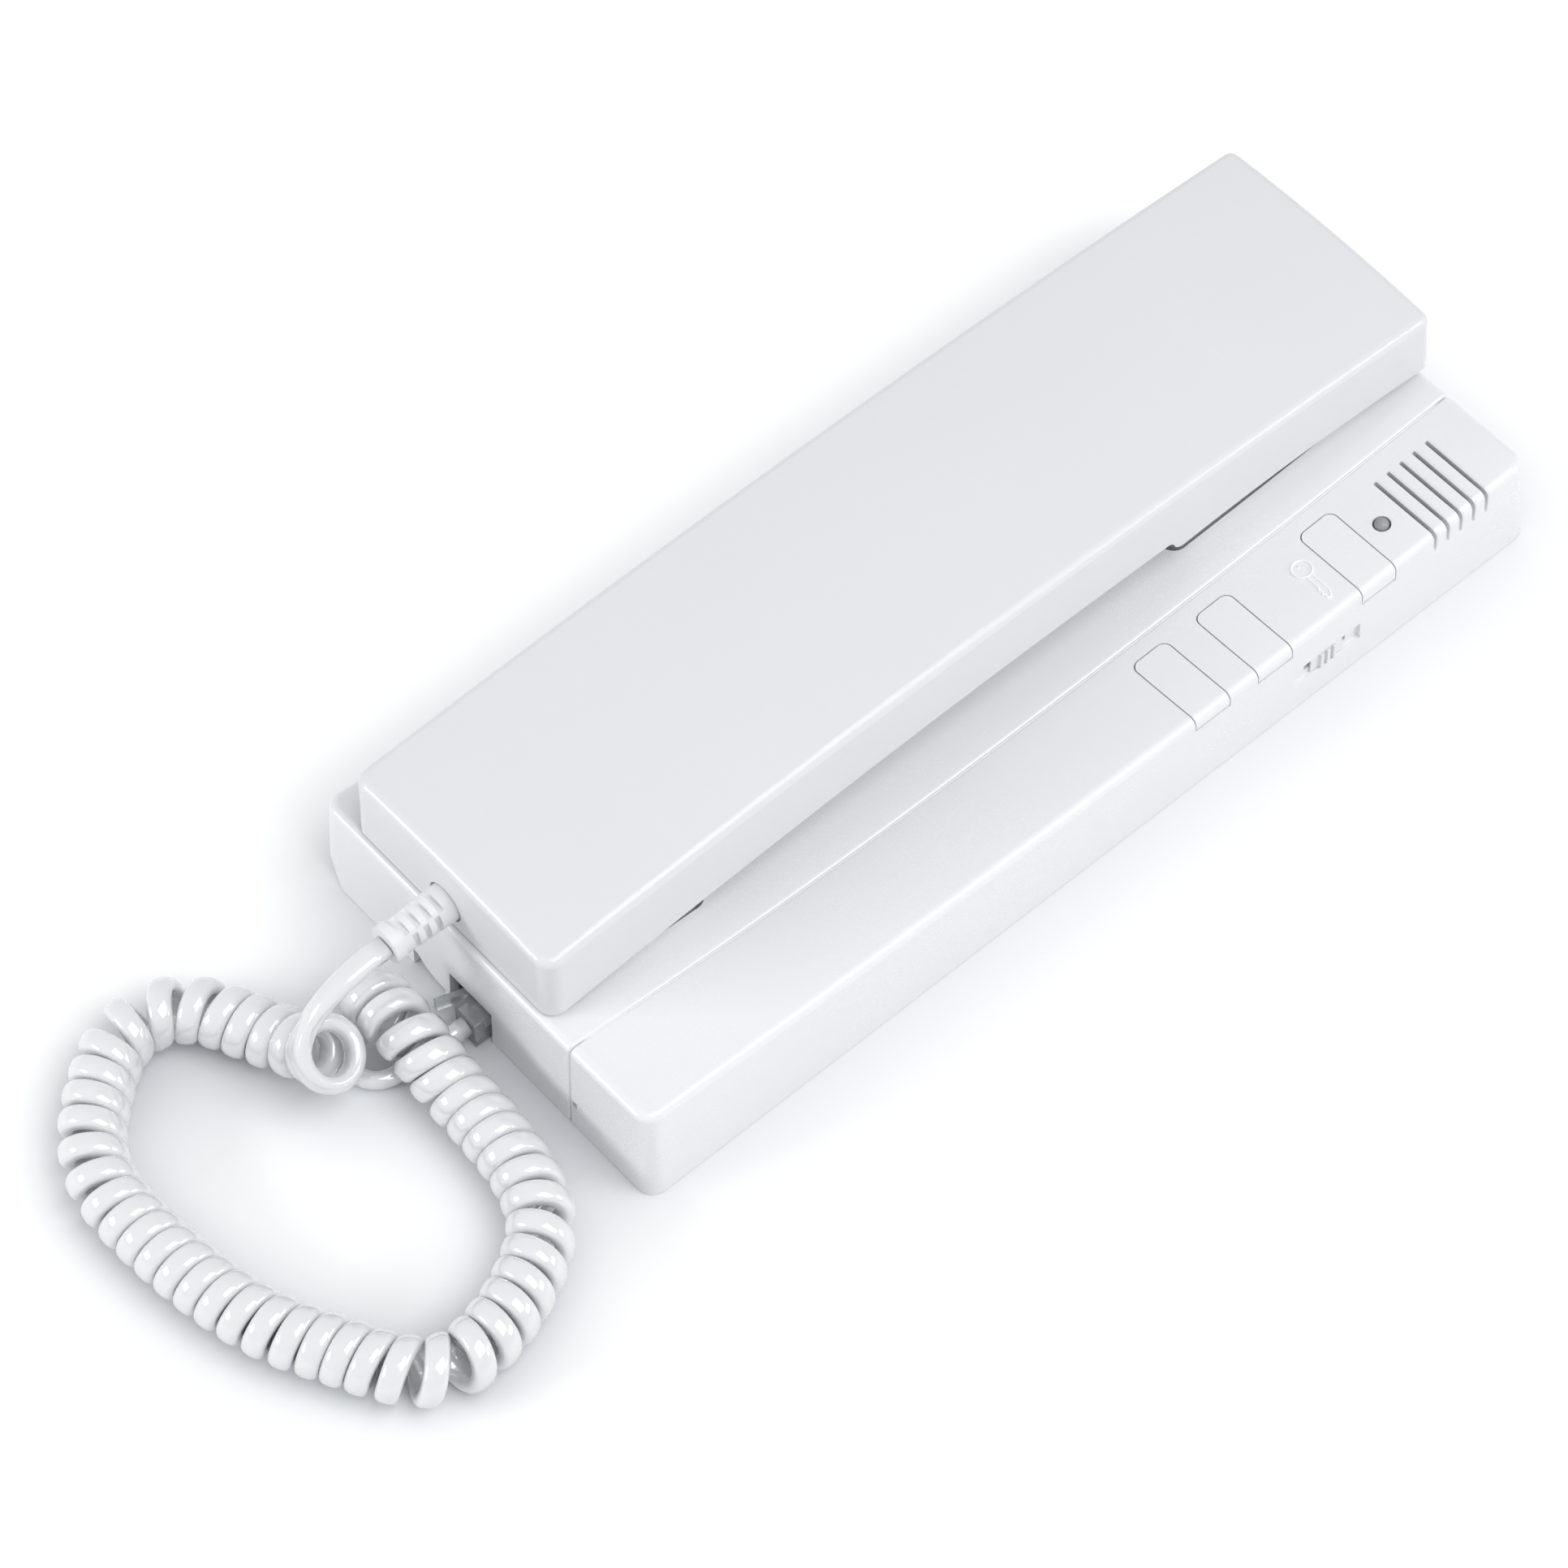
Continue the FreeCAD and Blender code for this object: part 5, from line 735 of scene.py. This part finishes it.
class STATION_OT_shield(PieceOperator, bpy.types.Operator):
    """Put the shield behind the volume slide's slot"""
    bl_idname = "station.shield"
    bl_label = "Slide Shield"

    def make(self, look):
        """A flat strip with round edges that moves with the slide: a superellipse of the
        fourth power carried along the slide's travel, and drawn in at its ends."""
        along = np.sin(np.linspace(-np.pi / 2, np.pi / 2, SHIELD_STEPS))
        swell = (1 - np.abs(along) ** 8 * 0.999) ** 0.25
        angle = -np.linspace(0, 2 * np.pi, SHIELD_SIDES, endpoint=False)
        over, out = np.cos(angle), np.sin(angle)
        rings = np.empty((len(along), len(angle), 3))
        rings[..., 0] = np.sign(over) * np.sqrt(np.abs(over)) * swell[:, None]
        rings[..., 1] = along[:, None]
        rings[..., 2] = np.sign(out) * np.sqrt(np.abs(out)) * swell[:, None]
        points, faces = tube(SHIELD_PLACE + rings * SHIELD_HALF)
        new_piece("slide_shield", points, faces, bpy.data.materials["strip_plastic"],
                  "volume_knob")


class STATION_OT_sign(PieceOperator, bpy.types.Operator):
    """Raise the key sign beside the keys"""
    bl_idname = "station.sign"
    bl_label = "Key Sign"

    def make(self, look):
        """A round bow with a small eye, and the outline of a shaft with teeth: ridges along
        a circle and along a row of straight lines, and a low dome for the eye."""
        width, height = look.sign_width * 1000, look.sign_height * 1000
        turn = np.linspace(0, 2 * np.pi, BOW_STEPS, endpoint=False)
        bow = SIGN_PLACE + SIGN_BOW * np.stack([np.cos(turn), np.sin(turn)], axis=1)
        corners = SIGN_PLACE + SIGN_SHAFT
        run = np.r_[0.0, np.cumsum(np.linalg.norm(np.diff(corners, axis=0), axis=1))]
        shaft = between(np.linspace(0, run[-1], SHAFT_STEPS), run, corners)
        points, faces = joined([
            ridge(bow, width, height, True), ridge(shaft, width, height, False),
            low_dome(SIGN_PLACE + SIGN_EYE, SIGN_EYE_RADIUS, height)])
        # Its finish is a brighter white that paints highlight on the raised lines
        new_piece("key_sign", points, faces, bpy.data.materials["sign_painted_highlight"],
                  "base")


class STATION_OT_stage(PieceOperator, bpy.types.Operator):
    """Lay the floor and set up the lamps, the surroundings and the camera"""
    bl_idname = "station.stage"
    bl_label = "Stage"

    def make(self, look):
        scene = bpy.context.scene
        scene.view_settings.view_transform = "Standard"
        self.floor(look)
        self.surroundings(look)
        for name, place, aim, size, watts in LAMPS:
            light = bpy.data.lights.new(name, "AREA")
            light.shape = "RECTANGLE"
            light.size, light.size_y = size
            light.energy = watts
            lamp = bpy.data.objects.new(name, light)
            away = (Vector(place) - Vector(aim)).normalized()
            lamp.matrix_world = (Matrix.Translation(place)
                                 @ away.to_track_quat("Z", "Y").to_matrix().to_4x4())
            scene.collection.objects.link(lamp)
        lens = bpy.data.cameras.new("camera")
        lens.sensor_width = SENSOR_MM
        lens.lens = LENS_MM
        lens.clip_start, lens.clip_end = CLIP_NEAR, CLIP_FAR
        camera = bpy.data.objects.new("camera", lens)
        turn = Matrix((CAMERA_RIGHT, CAMERA_UP, CAMERA_BACK)).transposed()
        camera.matrix_world = Matrix.Translation(CAMERA_PLACE) @ turn.to_4x4()
        scene.collection.objects.link(camera)
        scene.camera = camera

    def floor(self, look):
        """A plane under the object, of a slight wash of tone, with painted shade close to
        things:
        where ambient occlusion finds things near, its colour is blended to a grey and its lift
        fades.
        Where nothing stands near, it shows a little brighter to the eye and in reflections than
        it lights the object."""
        finish = Finish("floor", Specular_IOR_Level=0.0, Emission_Strength=look.floor_lift)
        wash = finish.noise(3.0, 2.0)
        color = tuple(look.floor_color)
        washed = finish.blend(wash, tinted(color, 0.995), tinted(color, 1.005))
        open_sky = finish.add("ShaderNodeAmbientOcclusion", {"samples": SHADE_SAMPLES},
                              {"Distance": SHADE_REACH}, "AO")
        openness = open_sky * open_sky
        # Painted shade: the floor's colour is blended to a grey where things stand near
        finish.feed("Base Color", finish.blend(openness, FLOOR_PAINTED_SHADE, washed))
        finish.feed("Roughness", wash * 0.05 + 0.9)
        # The lift fades where things stand near, which paints shade there too
        lift = seen_rays(finish.tree) * openness * open_sky
        finish.feed("Emission Color", finish.blend(lift, (0.0, 0.0, 0.0), (1.0, 1.0, 1.0)))
        corners = np.array([(-1, -1, 0), (1, -1, 0), (1, 1, 0), (-1, 1, 0)]) * FLOOR_REACH
        corners[:, 2] = -FLOOR_GAP
        mesh = bpy.data.meshes.new("floor")
        mesh.from_pydata(corners.tolist(), [], [(0, 1, 2, 3)])
        mesh.materials.append(finish.material)
        floor = bpy.data.objects.new("floor", mesh)
        bpy.context.scene.collection.objects.link(floor)

    def surroundings(self, look):
        """White all round to the eye and in reflections, and a dimmer light on the object."""
        world = bpy.data.worlds.new("surroundings")
        world.use_nodes = True
        bpy.context.scene.world = world
        tree = world.node_tree
        background = tree.nodes["Background"]
        background.inputs["Color"].default_value = (*look.sky_color, 1.0)
        seen = seen_rays(tree)
        strength = seen * (1.0 - look.sky_strength) + look.sky_strength
        tree.links.new(strength.socket, background.inputs["Strength"])


def seen_rays(tree):
    """1 for rays from the eye, mirrors and glass, and 0 for the light that falls on things."""
    path = tree.nodes.new("ShaderNodeLightPath")
    camera, glossy, through = (Shade(tree, path.outputs[name]) for name in (
        "Is Camera Ray", "Is Glossy Ray", "Is Transmission Ray"))
    return (camera + glossy + through).clamped()


class STATION_PT_panel(bpy.types.Panel):
    """Lists the pieces that can be made"""
    bl_idname = "STATION_PT_panel"
    bl_label = "Intercom Station"
    bl_space_type = "VIEW_3D"
    bl_region_type = "UI"
    bl_category = "Intercom"

    def draw(self, context):
        look = context.scene.station_look
        for name in StationLook.__annotations__:
            self.layout.prop(look, name)
        for operator in OPERATORS:
            self.layout.operator(operator.bl_idname)


OPERATORS = (STATION_OT_finishes, STATION_OT_cord, STATION_OT_bead, STATION_OT_shield,
             STATION_OT_sign, STATION_OT_stage)
CLASSES = (StationLook, *OPERATORS, STATION_PT_panel)


def register():
    """Adds the classes, and the look to every scene."""
    for kind in CLASSES:
        bpy.utils.register_class(kind)
    bpy.types.Scene.station_look = PointerProperty(type=StationLook)


def unregister():
    """Takes away what register adds."""
    del bpy.types.Scene.station_look
    for kind in reversed(CLASSES):
        bpy.utils.unregister_class(kind)


def main():
    """Registers the add-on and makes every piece."""
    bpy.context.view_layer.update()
    register()
    for operator in OPERATORS:
        group, name = operator.bl_idname.split(".")
        getattr(getattr(bpy.ops, group), name)()


if __name__ == "__main__":
    main()
